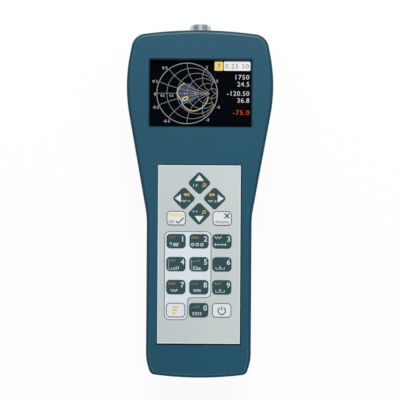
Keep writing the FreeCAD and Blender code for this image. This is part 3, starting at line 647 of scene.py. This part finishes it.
film = Finish("keypad_film", ior=1.45)
upper_panel = film.rounded_box(group_left, group_right, group_step, group_top, group_corner)
lower_panel = film.rounded_box(group_left, group_neck, group_foot, group_top, group_corner)
panel = film.maths("MINIMUM", upper_panel, lower_panel)
on_panel = film.ease(panel, -0.0001, 0.0001, 1.0, 0.0)
to_edge = film.rounded_box(film_low.x, film_high.x, film_low.y, film_high.y, 0.2)
# Painted highlight: a bright line just inside the film's cut edge.
rim = film.ease(to_edge, -0.0008, -0.0005)
# Painted light: the sheet is a little lighter towards the right.
across = film.ease(film.x, film_low.x * MM, film_high.x * MM)
sheet = film.mix(across, linear(195, 205, 205), linear(203, 211, 211))
sheet = film.mix(film.patches(45.0, 3.0, 0.0, 0.08), sheet, linear(180, 190, 190))
sheet = film.mix(on_panel, sheet, linear(220, 230, 235))
film.set(Base_Color=film.mix(rim * 0.75, sheet, linear(236, 242, 242)))
film.set(Roughness=film.patches(700.0, 2.0, 0.42, 0.55))
film.set(Normal=film.bump(film.cells(2600.0), 0.003))
smoothed("keypad_overlay", "case", "film_grey", film)

# %% [markdown]
# ## Printed lines
# Ink has a thickness, if a small one: each printed sign is a ribbon of two or three hundredths of a
# millimetre. The panel's frame is a path round the two rectangles, with one inward corner where they meet.

# %% Panel outline
def ink(name, colour):
    """Printed ink: dense, matt, with a slightly broken tone."""
    made = Finish(name, ior=1.4)
    made.set(Base_Color=made.mix(made.patches(2200.0, 3.0), colour, toned(colour, 0.92)))
    made.set(Roughness=made.patches(900.0, 2.0, 0.45, 0.58), Normal=made.bump(made.noise(4000.0), 0.001))
    return made.material


line_ink = ink("line_ink", linear(96, 112, 114))
white_ink = ink("white_ink", linear(228, 232, 236))
yellow_ink = ink("yellow_ink", linear(232, 190, 48))
olive_ink = ink("olive_ink", linear(176, 150, 74))
dark_ink = ink("dark_ink", linear(52, 74, 82))
rim_ink = ink("rim_ink", linear(88, 106, 112))
amber_ink = ink("amber_ink", linear(246, 220, 136))


def panel_path(level):
    """The frame's points, corner after corner, starting at the upper right one."""
    r = group_corner
    corners = (
        (group_right - r, group_top - r, 0, 90), (group_left + r, group_top - r, 90, 180),
        (group_left + r, group_foot + r, 180, 270), (group_neck - r, group_foot + r, 270, 360),
        (group_neck + r, group_step - r, 180, 90), (group_right - r, group_step + r, 270, 360),
    )
    points = []
    for x, y, start, end in corners:
        points.extend(arc(x, y, r, start, end, level, 10))
    return points


frame_path = lines((panel_path(film_high.z), True))
frame_line = ribbon.run(line_ink, frame_path, Width=0.5 * MM, Thickness=0.03 * MM)
piece("keypad_panel_line", frame_line, "case", "key_dark")

# %% [markdown]
# ## Keys
# Each key is a button under the film, with its own hard top: a rounded block whose upper edge rolls over.
# It could be a beveled cube, but stacked outlines give the roll exactly and let a band of it carry the
# dark ring that the pale keys have. The top stays flat, so signs print on it cleanly, and everything on a
# key rides with that key.

# %% Key materials and blanks
key_teal = moulded("key_teal", linear(30, 73, 79), grain=0.2, depth=0.004, rough=0.42, ior=1.46,
                   specular_ior_level=0.35).material
key_pale = moulded("key_pale", linear(227, 230, 233), grain=0.2, depth=0.004, rough=0.45, drift=0.02,
                   ior=1.46).material
key_roll, print_lift = 0.4, 0.018
roll_steps = 6


def key_blank(node, is_pale, is_diamond):
    """A key's body from its CAD box: straight walls, a rolled edge, a flat top."""
    low, high = (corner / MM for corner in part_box(node))
    x, y = (low.x + high.x) / 2.0, (low.y + high.y) / 2.0
    half_width, half_length = (high.x - low.x) / 2.0, (high.y - low.y) / 2.0
    radius, turn = 2.5, 0.0
    if is_diamond:
        radius, turn = 2.0, 45.0
        half_width = (half_width + radius * (math.sqrt(2.0) - 1.0)) / math.sqrt(2.0)
        half_length = half_width
    top = high.z - print_lift
    loops = [rounded_loop(half_width, half_length, radius, low.z, x, y, turn)]
    bands = []
    for step in range(roll_steps + 1):
        angle = math.radians(90.0 * step / roll_steps)
        inset = key_roll * (1.0 - math.cos(angle))
        loops.append(rounded_loop(half_width - inset, half_length - inset, radius - inset,
                                  top - key_roll * (1.0 - math.sin(angle)), x, y, turn))
        bands.append(1 if is_pale and step > 0 else 0)
    inset = key_roll + 0.05
    loops.append(rounded_loop(half_width - inset, half_length - inset, radius - inset, top, x, y, turn))
    bands += [1 if is_pale else 0, 0]
    return stack(loops, bands), x, y, top


# %% [markdown]
# ## Signs on the keys
# The digits are plain numerals. What else is printed on such keys names their functions, and here plain
# signs stand in those places: arrows, a lens, plus and minus, a tick, a cross, waves, bars. All but the
# arrows are strokes, so one table of short paths serves every key, and the ribbon gives them their width.

# %% Sign paths
def ring(radius, x=0.0, y=0.0, start=0.0, end=360.0, steps=20):
    """A flat arc, or a whole ring."""
    return [(px, py) for px, py, pz in arc(x, y, radius, start, end, 0.0, steps)]


def wave(width, height, periods=1.5, steps=18):
    """A wavy line about its middle."""
    return [(width * (s / steps - 0.5), height * math.sin(2 * math.pi * periods * s / steps))
            for s in range(steps + 1)]


def dashes(count, step, length, y=0.0):
    """A row of short strokes, centred."""
    places = [step * (i - (count - 1) / 2.0) for i in range(count)]
    return [[(place - length / 2.0, y), (place + length / 2.0, y)] for place in places]


def tray(tip):
    """A tray with an arrow that points down into it or up out of it."""
    return [[(-3.0, 0.3), (-3.0, -1.0), (3.0, -1.0), (3.0, 0.3)],
            [(0.0, 0.95), (0.0, -0.45)], [(-0.75, 0.25), (0.0, tip), (0.75, 0.25)]]


# Each small sign: strokes about its middle, in millimetres
small_signs = {
    "plus": [[(-0.8, 0.0), (0.8, 0.0)], [(0.0, -0.8), (0.0, 0.8)]],
    "minus": [[(-0.8, 0.0), (0.8, 0.0)]],
    "bar": [[(0.0, -0.8), (0.0, 0.8)]],
    "short wave": [wave(3.0, 0.6, 1.5)],
    "wave": [wave(5.0, 0.75, 2.5)],
    "long wave": [wave(10.6, 1.0, 6.0, 72)],
    "bars": [[(-3.0 + 1.2 * i, -1.0), (-3.0 + 1.2 * i, -0.6 + 0.32 * i)] for i in range(6)],
    "curve": [[(-2.6, 1.0), (-2.6, -1.0), (2.6, -1.0)], wave(4.2, 0.55, 1.0)],
    "dials": [ring(1.0, x) for x in (-3.2, 0.0, 3.2)]
             + [[(-3.2, 0.0), (-2.5, 0.6)], [(0.0, 0.0), (0.0, 0.9)], [(3.2, 0.0), (2.5, 0.6)]],
    "span": [[(-4.2, 0.0), (4.2, 0.0)], [(-3.3, 0.8), (-4.2, 0.0), (-3.3, -0.8)],
             [(3.3, 0.8), (4.2, 0.0), (3.3, -0.8)], [(-1.2, -0.7), (-1.2, 0.7)], [(1.2, -0.7), (1.2, 0.7)]],
    "store": tray(-0.45),
    "fetch": tray(0.95),
    "grid": [[(-2.2 + 1.1 * i, -0.9), (-2.2 + 1.1 * i, 0.9)] for i in range(5)]
            + [[(-2.2, 0.0), (2.2, 0.0)]],
    "dots": dashes(4, 1.25, 0.7, 0.5) + dashes(4, 1.25, 0.7, -0.5),
    "rows": dashes(4, 1.7, 1.1, 0.75) + dashes(4, 1.7, 1.1, -0.1) + dashes(4, 1.7, 1.1, -0.95),
    "help": [ring(0.8, -2.6, 0.35, 160, -40), [(-2.25, -0.25), (-2.6, -0.55)],
             [(-2.6, -0.95), (-2.6, -0.8)], [(-0.8, 0.7), (3.2, 0.7)],
             [(-0.8, -0.1), (2.4, -0.1)], [(-0.8, -0.9), (2.9, -0.9)]],
    "back": [[(-3.7, 0.9), (-4.7, 0.0), (-3.7, -0.9)],
             [(px + 0.5, py) for px, py in wave(8.6, 0.75, 5.0, 60)]],
    "corner": [[(-5.2, 3.2), (-5.2, -3.85), (1.7, -3.85)]],
}
lens_ring = [ring(1.05), [(-0.75, -0.75), (-1.7, -1.7)]]

# What each digit key carries besides its digit: an upper sign, or none, and a white lower one
digit_signs = {
    "1": ("dots", "help"), "2": ("grid", "dials"), "3": ("wave", "span"),
    "4": ("wave", "bars"), "5": ("bars", "curve"), "6": (None, "store"),
    "7": ("grid", "wave"), "8": ("dots", "grid"), "9": ("wave", "fetch"),
    "0": ("bars", "rows"),
}
print("signs:", len(small_signs))

# %% Build the eighteen keys
ink_thickness = 0.024
digit_height, digit_across, digit_up = 3.75, 4.55, 1.6


def printed(heap, strokes, x, y, level, material, width):
    """Adds strokes about a place to a key as printed ribbons."""
    paths = [([(x + px, y + py, level) for px, py in path], False) for path in strokes]
    heap.stroke(material, width, ink_thickness, *paths)


def arrow_head(heap, x, y, level, points, material):
    heap.add(prism([(x + px, y + py) for px, py in points], level - 0.01, level + 0.012), material)


key_count = 0
for body in (joint["child"] for joint in frame["joints"]):
    if not body.startswith("key_"):
        continue
    node = body[:-len("_body")]
    name = node[len("key_"):]
    is_diamond = name in ("up", "down", "left", "right")
    is_pale = name in ("ok", "cancel", "f", "power")
    blank, x, y, top = key_blank(node, is_pale, is_diamond)
    heap = Heap().add(blank, key_pale if is_pale else key_teal, rim_ink)
    if name.isdigit():
        digit = number(name, digit_height, x + digit_across, y + digit_up, top - 0.004, 0.01)
        heap.add(digit, white_ink)
        upper, lower = digit_signs[name]
        if upper:
            upper_ink = white_ink if name == "3" else olive_ink
            printed(heap, small_signs[upper], x - 2.8, y + 2.5, top, upper_ink, 0.3)
        printed(heap, small_signs[lower], x - 1.2, y - 2.3, top, white_ink, 0.4)
        if name in "45":
            printed(heap, small_signs["corner"], x, y, top, white_ink, 0.22)
    if is_diamond:
        way = 1.0 if name in ("up", "right") else -1.0
        sign = "plus" if way > 0 else "minus"
        if name in ("up", "down"):
            tip = [(-3.2, 1.46 * way), (3.2, 1.46 * way), (0.0, 5.7 * way)]
        else:
            tip = [(2.1 * way, -2.9), (6.3 * way, 0.0), (2.1 * way, 2.9)]
        arrow_head(heap, x, y, top, tip if way > 0 else tip[::-1], white_ink)
    if name in ("up", "down"):
        printed(heap, lens_ring, x + 3.5, y - 1.3 * way, top, yellow_ink, 0.42)
        small = [[(px * 0.55, py * 0.55) for px, py in path] for path in small_signs[sign]]
        printed(heap, small, x + 3.5, y - 1.3 * way, top, yellow_ink, 0.3)
        printed(heap, small_signs[sign], x - 2.0, y - 1.6 * way, top, white_ink, 0.42)
        printed(heap, small_signs["bar"], x - 4.1, y - 1.6 * way, top, white_ink, 0.42)
    if name in ("left", "right"):
        for step in (-1.0, 1.0):
            start = step - 2.6 * way
            small = [(start, 1.3), (start + 2.0 * way, 2.6), (start, 3.9)]
            arrow_head(heap, x, y, top, small if way > 0 else small[::-1], yellow_ink)
        printed(heap, small_signs[sign], x + 2.0 - 1.5 * way, y - 1.9, top, white_ink, 0.42)
        printed(heap, small_signs["short wave"], x - 1.4 - 1.5 * way, y - 1.9, top, white_ink, 0.38)
    if name == "ok":
        printed(heap, [[(-0.1, -2.2), (1.45, -3.5), (5.1, 0.2)]], x, y, top, dark_ink, 0.9)
        printed(heap, [ring(0.8, -0.95), ring(0.8, 0.95)], x - 3.4, y - 2.5, top, dark_ink, 0.36)
        printed(heap, small_signs["long wave"], x - 0.1, y + 2.3, top, amber_ink, 0.6)
    if name == "cancel":
        printed(heap, [[(-1.7, -1.7), (1.7, 1.7)], [(-1.7, 1.7), (1.7, -1.7)]],
                x + 3.3, y + 1.8, top, dark_ink, 0.85)
        printed(heap, small_signs["back"], x - 0.2, y - 2.6, top, dark_ink, 0.34)
    if name == "f":
        bars = [[(-2.2, 2.1), (2.2, 2.1)], [(-2.2, 0.0), (1.2, 0.0)], [(-2.2, -2.1), (0.2, -2.1)]]
        printed(heap, bars, x - 0.2, y, top, yellow_ink, 1.05)
    if name == "power":
        switch = [ring(2.55, 0, 0, 122, 418, 28), [(0.0, 0.4), (0.0, 3.1)]]
        printed(heap, switch, x + 0.1, y - 0.3, top, dark_ink, 0.75)
    slot = "key_light" if is_pale else "key_dark"
    piece(node + "_cap", heap.mesh(node + "_cap"), body, slot, node)
    key_count += 1
print("keys:", key_count)

# %% [markdown]
# ## The screen
# The display shows a chart of impedances. Its lines follow one rule: an impedance z, measured against the
# line's own, appears at (z - 1) / (z + 1). Holding the real part of z gives circles, holding the imaginary
# part gives arcs, so the whole grid comes from that formula and the ribbon recipe. It glows a little, as
# a lit screen does, and lies just above the panel, under the window.

# %% Lit colours
row_pitch = 0.25


def lit(name, colour):
    """A glowing line on the screen: its pixels' rows show as a slight flicker of tone."""
    made = Finish(name, roughness=0.6, specular_ior_level=0.0, emission_strength=1.0)
    shade = made.ease(made.stripes(made.y, row_pitch), -1.0, 1.0, 0.0, 0.07)
    made.set(Base_Color=made.mix(shade, (0.01, 0.01, 0.012, 1.0), (0.004, 0.004, 0.005, 1.0)))
    made.set(Emission_Color=made.mix(shade, colour, toned(colour, 0.7)))
    return made.material


grid_light = lit("grid_light", linear(172, 172, 175))
rim_light = lit("rim_light", linear(206, 206, 208))
text_light = lit("text_light", linear(236, 236, 240))
trace_pale = lit("trace_pale", linear(176, 222, 242))
trace_yellow = lit("trace_yellow", linear(248, 232, 128))
disc_light = lit("disc_light", linear(70, 74, 92))
tab_yellow = lit("tab_yellow", linear(240, 222, 124))
tab_white = lit("tab_white", linear(250, 250, 250))
tab_dark = lit("tab_dark", linear(96, 84, 60))
orange_light = lit("orange_light", linear(214, 88, 34))
print("screen colours are ready")

# %% [markdown]
# The grid's arcs are evenly spread as angles, so that they stay smooth where they crowd at the right.
# They stop at the last value's lines, as on the photographed screen, and only the last circle and the
# last arcs run on. The measured trace is a smooth path through points read off the photograph, in
# stretches of two colours.

# %% The chart's grid and trace
screen_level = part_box("display_panel")[1].z / MM
chart_x, chart_y = seen_at(187.1, 93.4, screen_level)
screen_pixel = (camera_place.z / MM - screen_level) / focal_pixels
chart_radius = 30.3 * screen_pixel
lit_thickness = 0.02


def on_chart(resistance, reactance, level):
    """Where an impedance shows on the chart."""
    z = complex(resistance, reactance)
    place = (z - 1.0) / (z + 1.0)
    return (chart_x + chart_radius * place.real, chart_y + chart_radius * place.imag, level)


def eased(count, limit):
    """Numbers from 0 to a limit, evenly spread as angles."""
    return [math.tan(math.atan(limit) * step / count) for step in range(count + 1)]


grid_level = screen_level + 0.06
grid = []
last_value = 5.0
for value in (0.2, 0.5, 1.0, 2.0, last_value):
    end = last_value if value < last_value else 200.0
    turn = eased(40, end)
    both = [-x for x in reversed(turn)] + turn[1:]
    grid.append(([on_chart(value, x, grid_level) for x in both], False))
    for sign in (-1.0, 1.0):
        grid.append(([on_chart(r, sign * value, grid_level) for r in eased(32, end)], False))
grid.append(([on_chart(0.0, 0.0, grid_level), on_chart(last_value, 0.0, grid_level)], False))
screen = Heap().stroke(grid_light, 0.22, lit_thickness, *grid)
outer = (arc(chart_x, chart_y, chart_radius, 0, 360, grid_level + 0.01, 96)[:-1], True)
screen.stroke(rim_light, 0.28, lit_thickness, outer)
disc = [(x, y) for x, y, z in arc(chart_x, chart_y, chart_radius / 3.0, 0, 360, 0, 48)[:-1]]
screen.add(prism(disc, screen_level + 0.01, screen_level + 0.03), disc_light)


def through(points, steps=8):
    """A smooth path through picture points, by the rule that each stretch aims at its neighbours."""
    spread = [points[0]] + points + [points[-1]]
    path = []
    for a, b, c, d in zip(spread, spread[1:], spread[2:], spread[3:]):
        for step in range(steps):
            t = step / steps
            path.append(tuple(
                0.5 * (2 * q + (r - p) * t + (2 * p - 5 * q + 4 * r - s) * t * t
                       + (3 * q - p - 3 * r + s) * t ** 3)
                for p, q, r, s in zip(a, b, c, d)))
    return path + [tuple(points[-1])]


trace_points = [
    (184.8, 83.4), (181.5, 85.0), (179.0, 87.9), (177.3, 91.7), (177.5, 94.6), (179.4, 97.9),
    (181.5, 100.4), (182.5, 104.1), (185.2, 107.4), (188.9, 109.9), (192.4, 110.9), (196.8, 110.4),
    (200.3, 108.7), (203.4, 106.6), (205.7, 103.5), (207.5, 100.2), (208.1, 97.7)]
trace = [(*seen_at(column, row, screen_level), grid_level + 0.03)
         for column, row in through(trace_points)]
steps_a_point = (len(trace) - 1) // (len(trace_points) - 1)
turns_yellow = (0, 1, 3, 5, 8, 11, 14, 16)
for index, (first, last) in enumerate(zip(turns_yellow, turns_yellow[1:])):
    colour = trace_pale if index % 2 else trace_yellow
    stretch = trace[first * steps_a_point:last * steps_a_point + 1]
    screen.stroke(colour, 0.5, lit_thickness, (stretch, False))
loop_x, loop_y = seen_at(185.2, 98.7, screen_level)
loop = [(loop_x + 1.75 * across, loop_y + 1.15 * up + 0.7 * across, grid_level + 0.04)
        for across, up, level in arc(0.0, 0.0, 1.0, 0.0, 360.0, 0.0, 28)[:-1]]
screen.stroke(trace_yellow, 0.6, lit_thickness, (loop, True))
print("chart: centre %.1f, %.1f mm, radius %.1f mm" % (chart_x, chart_y, chart_radius))

# %% [markdown]
# Numbers stand round the chart and along its axis, and a column of readings stands at the right under
# two tabs. All of them are plain numbers, and each is placed where the camera sees it.

# %% Numbers and tabs on the screen
def shown(text, column, row, tall, material, align="CENTER", wide=None, weight=-0.008):
    """A number on the screen, its place and size in the picture's pixels."""
    x, y = seen_at(column, row, screen_level)
    width = wide * screen_pixel if wide else None
    level = screen_level + 0.05
    screen.add(number(text, tall * screen_pixel, x, y, level, weight, align, width, 1.12), material)


for text, column, row in (
        ("0.5", 164.9, 67.8), ("2", 207.0, 67.4), ("0.2", 155.2, 81.2), ("5", 217.2, 81.2),
        ("0", 154.9, 94.0), ("-0.2", 155.7, 107.2), ("-5", 218.2, 107.2), ("-0.5", 166.5, 121.0),
        ("-2", 207.4, 119.8)):
    shown(text, column, row, 2.6, text_light)
for text, column, row in (
        ("0.2", 162.6, 95.6), ("0.5", 171.5, 95.6), ("1", 184.6, 93.6), ("2", 195.1, 93.4),
        ("5", 208.8, 93.7)):
    shown(text, column, row, 2.0, text_light, weight=0.0)
readings_end = 249.2
for text, row, wide in (
        ("1750", 77.3, 13.6), ("24.5", 84.3, 11.8), ("-120.50", 93.6, 22.0), ("36.8", 100.5, 11.8)):
    shown(text, readings_end, row, 4.5, text_light, "RIGHT", wide)
shown("-75.0", readings_end, 112.7, 4.6, orange_light, "RIGHT", 16.2)


def tab(left, right, top, bottom, material):
    """A lit rounded tab between picture columns and rows."""
    x_low, y_low = seen_at(left, bottom, screen_level)
    x_high, y_high = seen_at(right, top, screen_level)
    middle = ((x_low + x_high) / 2.0, (y_low + y_high) / 2.0)
    half_width, half_length = (x_high - x_low) / 2.0, (y_high - y_low) / 2.0
    screen.add(stack([rounded_loop(half_width, half_length, 0.7, screen_level + lift, *middle)
                      for lift in (0.02, 0.04)]), material)


tab(214.6, 223.2, 61.8, 70.7, tab_yellow)
tab(223.8, 250.4, 61.8, 70.7, tab_white)
shown("7", 218.9, 66.3, 4.6, tab_dark)
shown("0.25 50", 237.1, 66.3, 4.6, tab_dark, "CENTER", 23.5)
piece("screen_chart", screen.mesh("screen_chart"), "case", "display_black")
print("screen drawn")

# %% [markdown]
# ## Window, display and their seat
# The display is dark glass with a faint grid of pixels. The window over it has a coating that keeps
# reflections down, so it is nearly invisible from the front.

# %% Screen materials on the CAD nodes
def paint(node, finish):
    """Gives a CAD node one finish in place of its packed one."""
    materials = frame["nodes"][node].data.materials
    materials.clear()
    materials.append(finish.material)


glass = Finish("display_glass", ior=1.2, specular_ior_level=0.0)
pixel_pitch = 0.22
grid_of_pixels = glass.stripes(glass.x, pixel_pitch) * glass.stripes(glass.y, pixel_pitch)
pixels = glass.ease(grid_of_pixels, -1.0, 1.0)
glass.set(Base_Color=glass.mix(pixels, (0.0012, 0.0022, 0.0036, 1.0), (0.0022, 0.0036, 0.0055, 1.0)))
glass.set(Roughness=glass.ease(pixels, 0.0, 1.0, 0.25, 0.32))
paint("display_panel", glass)

clear = Finish("window_clear", ior=1.2, specular_ior_level=0.04)
smear = clear.ease(clear.noise(70.0, 4.0, 0.7), 0.45, 0.8)
clear.set(Base_Color=clear.mix(smear, (0.003, 0.004, 0.005, 1.0), (0.008, 0.01, 0.012, 1.0)))
clear.set(Roughness=clear.ease(smear, 0.0, 1.0, 0.03, 0.08))
clear.set(Alpha=clear.ease(smear, 0.0, 1.0, 0.05, 0.08))
clear.set(Normal=clear.bump(clear.noise(12.0), 0.002))
paint("display_window", clear)
paint("window_gasket", moulded("gasket_foam", linear(16, 18, 20), grain=0.12, depth=0.02, rough=0.7))
paint("display_frame", metal("frame_steel", linear(176, 178, 180), 0.34))
print("display and window painted")

# %% [markdown]
# ## The antenna socket
# A coaxial jack: a nickel-plated barrel with a fine outside thread, on a square flange behind the case's
# wall. The barrel is turned, so its section is a short list of radii, and the thread is the coil recipe
# with a six-sided wire, sunk into the barrel until only a low rounded ridge stands out.

# %% Socket barrel, thread and flange
socket_low, socket_high = (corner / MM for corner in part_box("antenna_socket_body"))
socket_z = (socket_low.z + socket_high.z) / 2.0
mouth, back_end = socket_high.y, socket_low.y
flange_back, flange_front = back_end + 4.2, back_end + 6.6
ring_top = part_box("antenna_socket_ring")[1].y / MM
pitch, crest, wire, chamfer = 1.058, 7.85, 0.19, 0.35
core, neck, tube = crest - wire - 0.05, 7.5, 6.0
bore, back_bore, bore_end = 4.05, 4.0, mouth - 9.2
thread_start, thread_end = ring_top + 0.45, mouth - 0.55
profile = [(bore, bore_end), (bore, mouth - 0.45), (bore + 0.45, mouth), (core - chamfer, mouth),
           (core, mouth - chamfer), (core, ring_top - 0.6), (neck, ring_top - 0.9), (neck, flange_front),
           (tube, flange_front), (tube, back_end), (back_bore, back_end), (back_bore, bore_end)]
plating = (700.0, 90.0, 700.0)
nickel = metal("socket_nickel", linear(224, 223, 225), 0.11, 0.0003, plating, 0.1).material
barrel = Heap().add(turned(profile[::-1], 0.0, socket_z), nickel)
run_length = thread_end - thread_start
ridge = coil.run(nickel, Turns=run_length / pitch, Steps=72, Start=(crest - wire) * MM,
                 End=(crest - wire) * MM, Length=run_length * MM, Wire=wire * MM, Sides=6)
along_barrel = Matrix.Rotation(math.pi / 2.0, 4, "X")
ridge.transform(Matrix.Translation(Vector((0.0, thread_end, socket_z)) * MM) @ along_barrel)
barrel.add(ridge, nickel)
half_flange = (socket_high.x - socket_low.x) / 2.0
square = rounded_loop(half_flange, half_flange, 2.0, 0.0)
barrel.add(stack([[Vector((p.x, level, socket_z + p.y)) for p in square]
                  for level in (flange_front, flange_back)]), nickel)
piece("antenna_socket_barrel", barrel.mesh("antenna_socket_barrel", 40.0), "case", "socket_nickel",
      "antenna_socket_body")
smoothed("antenna_socket_ring", "case", "socket_nickel",
         metal("ring_nickel", linear(178, 180, 182), 0.3, 0.001, plating))
smoothed("antenna_socket_contact", "case", "contact_gold",
         metal("contact_gold", linear(214, 172, 92), 0.22, 0.0008))
smoothed("antenna_socket_insulator", "case", "insulator_white",
         moulded("insulator_white", linear(226, 224, 216), grain=0.4, depth=0.003, rough=0.4))
steel = metal("screw_steel", linear(150, 152, 155), 0.3, 0.001, (1200.0, 1200.0, 200.0))
smoothed("antenna_socket_screws", "case", "screw_steel", steel)
print("thread: %.1f turns" % (run_length / pitch))

# %% [markdown]
# ## Battery bay
# Under the sliding door three cells press against conical springs. A spring is wound wire, so it is the
# coil recipe again, wide at the plate and narrow at the cell.

# %% Springs
spring_steel = metal("spring_steel", linear(188, 190, 192), 0.25, 0.001, (1500.0, 1500.0, 1500.0))
springs = Heap()
springs_low, springs_high = (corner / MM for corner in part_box("battery_springs"))
spring_wire, spring_length = 0.4, 4.4
for index, way in ((1, 1.0), (2, -1.0), (3, 1.0)):
    cell_low, cell_high = (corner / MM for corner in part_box("battery_cell_%d" % index))
    cell_x, cell_z = (cell_low.x + cell_high.x) / 2.0, (cell_low.z + cell_high.z) / 2.0
    plate_y = springs_low.y if way > 0 else springs_high.y
    wound = coil.run(spring_steel.material, Turns=4.25, Steps=28, Start=4.2 * MM, End=2.8 * MM,
                     Length=spring_length * MM, Wire=spring_wire * MM, Sides=8)
    quarter = Matrix.Rotation(-way * math.pi / 2.0, 4, "X")
    foot = Vector((cell_x, plate_y + way * spring_wire, cell_z))
    wound.transform(Matrix.Translation(foot * MM) @ quarter)
    springs.add(wound, spring_steel.material)
piece("battery_springs_wound", springs.mesh("battery_springs_wound", 60.0), "case", "spring_steel",
      "battery_springs")
smoothed("battery_contacts", "case", "spring_steel",
         metal("contact_plate", linear(196, 196, 192), 0.3, 0.001, (120.0, 900.0, 900.0)))
print("springs wound")

# %% [markdown]
# A cell is a steel can in a printed sleeve. The sleeve ends short of both poles, so the can's own metal
# shows there, and a copper-coloured band marks one end of it.

# %% Cells
sleeve = Finish("cell_wrap", ior=1.5)
cells_middle, half_sleeve, band_start = -78.7, 25.5, -70.0
from_middle = sleeve.maths("ABSOLUTE", sleeve.y - cells_middle * MM)
bare = sleeve.ease(from_middle, (half_sleeve - 0.1) * MM, (half_sleeve + 0.1) * MM)
band = sleeve.ease(sleeve.y, (band_start - 0.1) * MM, (band_start + 0.1) * MM)
wrap = sleeve.mix(band, linear(38, 42, 46), linear(176, 104, 60))
wrap = sleeve.mix(sleeve.ease(sleeve.noise(300.0, 3.0), 0.4, 0.8, 0.0, 0.2), wrap, linear(90, 92, 94))
sleeve.set(Base_Color=sleeve.mix(bare, wrap, linear(190, 190, 188)))
sleeve.set(Metallic=bare, Roughness=sleeve.patches(500.0, 2.0, 0.22, 0.34))
sleeve.set(Normal=sleeve.bump(sleeve.noise(900.0), 0.004))
for index in (1, 2, 3):
    smoothed("battery_cell_%d" % index, "case", "cell_wrap", sleeve)
print("battery bay dressed")

# %% [markdown]
# ## Inside
# The board and what it carries show only when the case is apart, yet each has its own finish: solder mask
# over copper tracks, epoxy packages, tinned shield, amber flat cable.

# %% Board and small parts
board = Finish("board_green", ior=1.5)
copper = board.ease(board.cells(420.0, "DISTANCE_TO_EDGE"), 0.02, 0.05, 1.0, 0.0)
mask = board.mix(board.patches(60.0), linear(20, 74, 48), linear(24, 86, 56))
board.set(Base_Color=board.mix(copper * 0.6, mask, linear(46, 122, 74)))
board.set(Roughness=board.patches(400.0, 2.0, 0.25, 0.38))
board.set(Normal=board.bump(copper, 0.03))
chip = moulded("chip_epoxy", linear(30, 31, 33), grain=0.15, depth=0.01, rough=0.6)
cream = moulded("connector_cream", linear(214, 206, 182), grain=0.3, depth=0.004, rough=0.45)
tin = metal("shield_tin", linear(186, 188, 188), 0.3, 0.002, (300.0, 300.0, 300.0), 0.2)
port = metal("port_steel", linear(182, 184, 187), 0.25)
spacer = moulded("spacer_white", linear(206, 208, 208), grain=0.3, depth=0.004, rough=0.55)
dome = metal("dome_steel", linear(190, 191, 190), 0.22, 0.001, (800.0, 800.0, 800.0), 0.1)
amber = Finish("flex_amber", ior=1.5)
conductor = amber.ease(amber.stripes(amber.x, 1.0), -0.1, 0.1)
amber.set(Base_Color=amber.mix(conductor * 0.5, linear(168, 98, 34), linear(196, 132, 60)))
amber.set(Roughness=amber.patches(300.0, 2.0, 0.3, 0.45), Normal=amber.bump(conductor, 0.02))

for finish, nodes in (
        (board, ("main_board",)), (chip, ("board_chips", "usb_tongue")), (tin, ("rf_shield",)),
        (cream, ("display_connector", "keypad_connector")),
        (amber, ("display_flex", "keypad_circuit")), (spacer, ("keypad_spacer",))):
    for node in nodes:
        paint(node, finish)
for node, slot, finish in (
        ("buzzer", "chip_black", chip), ("usb_socket", "port_steel", port),
        ("case_screws", "screw_steel", steel), ("board_screws", "screw_steel", steel),
        ("keypad_domes", "dome_steel", dome)):
    smoothed(node, "case", slot, finish)
print("pieces:", piece_count)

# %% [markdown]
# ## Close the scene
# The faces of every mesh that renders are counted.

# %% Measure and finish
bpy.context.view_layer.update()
shown_meshes = [thing.data for thing in bpy.data.objects if thing.type == "MESH" and not thing.hide_render]
print("faces shown:", sum(len(mesh.polygons) for mesh in shown_meshes))
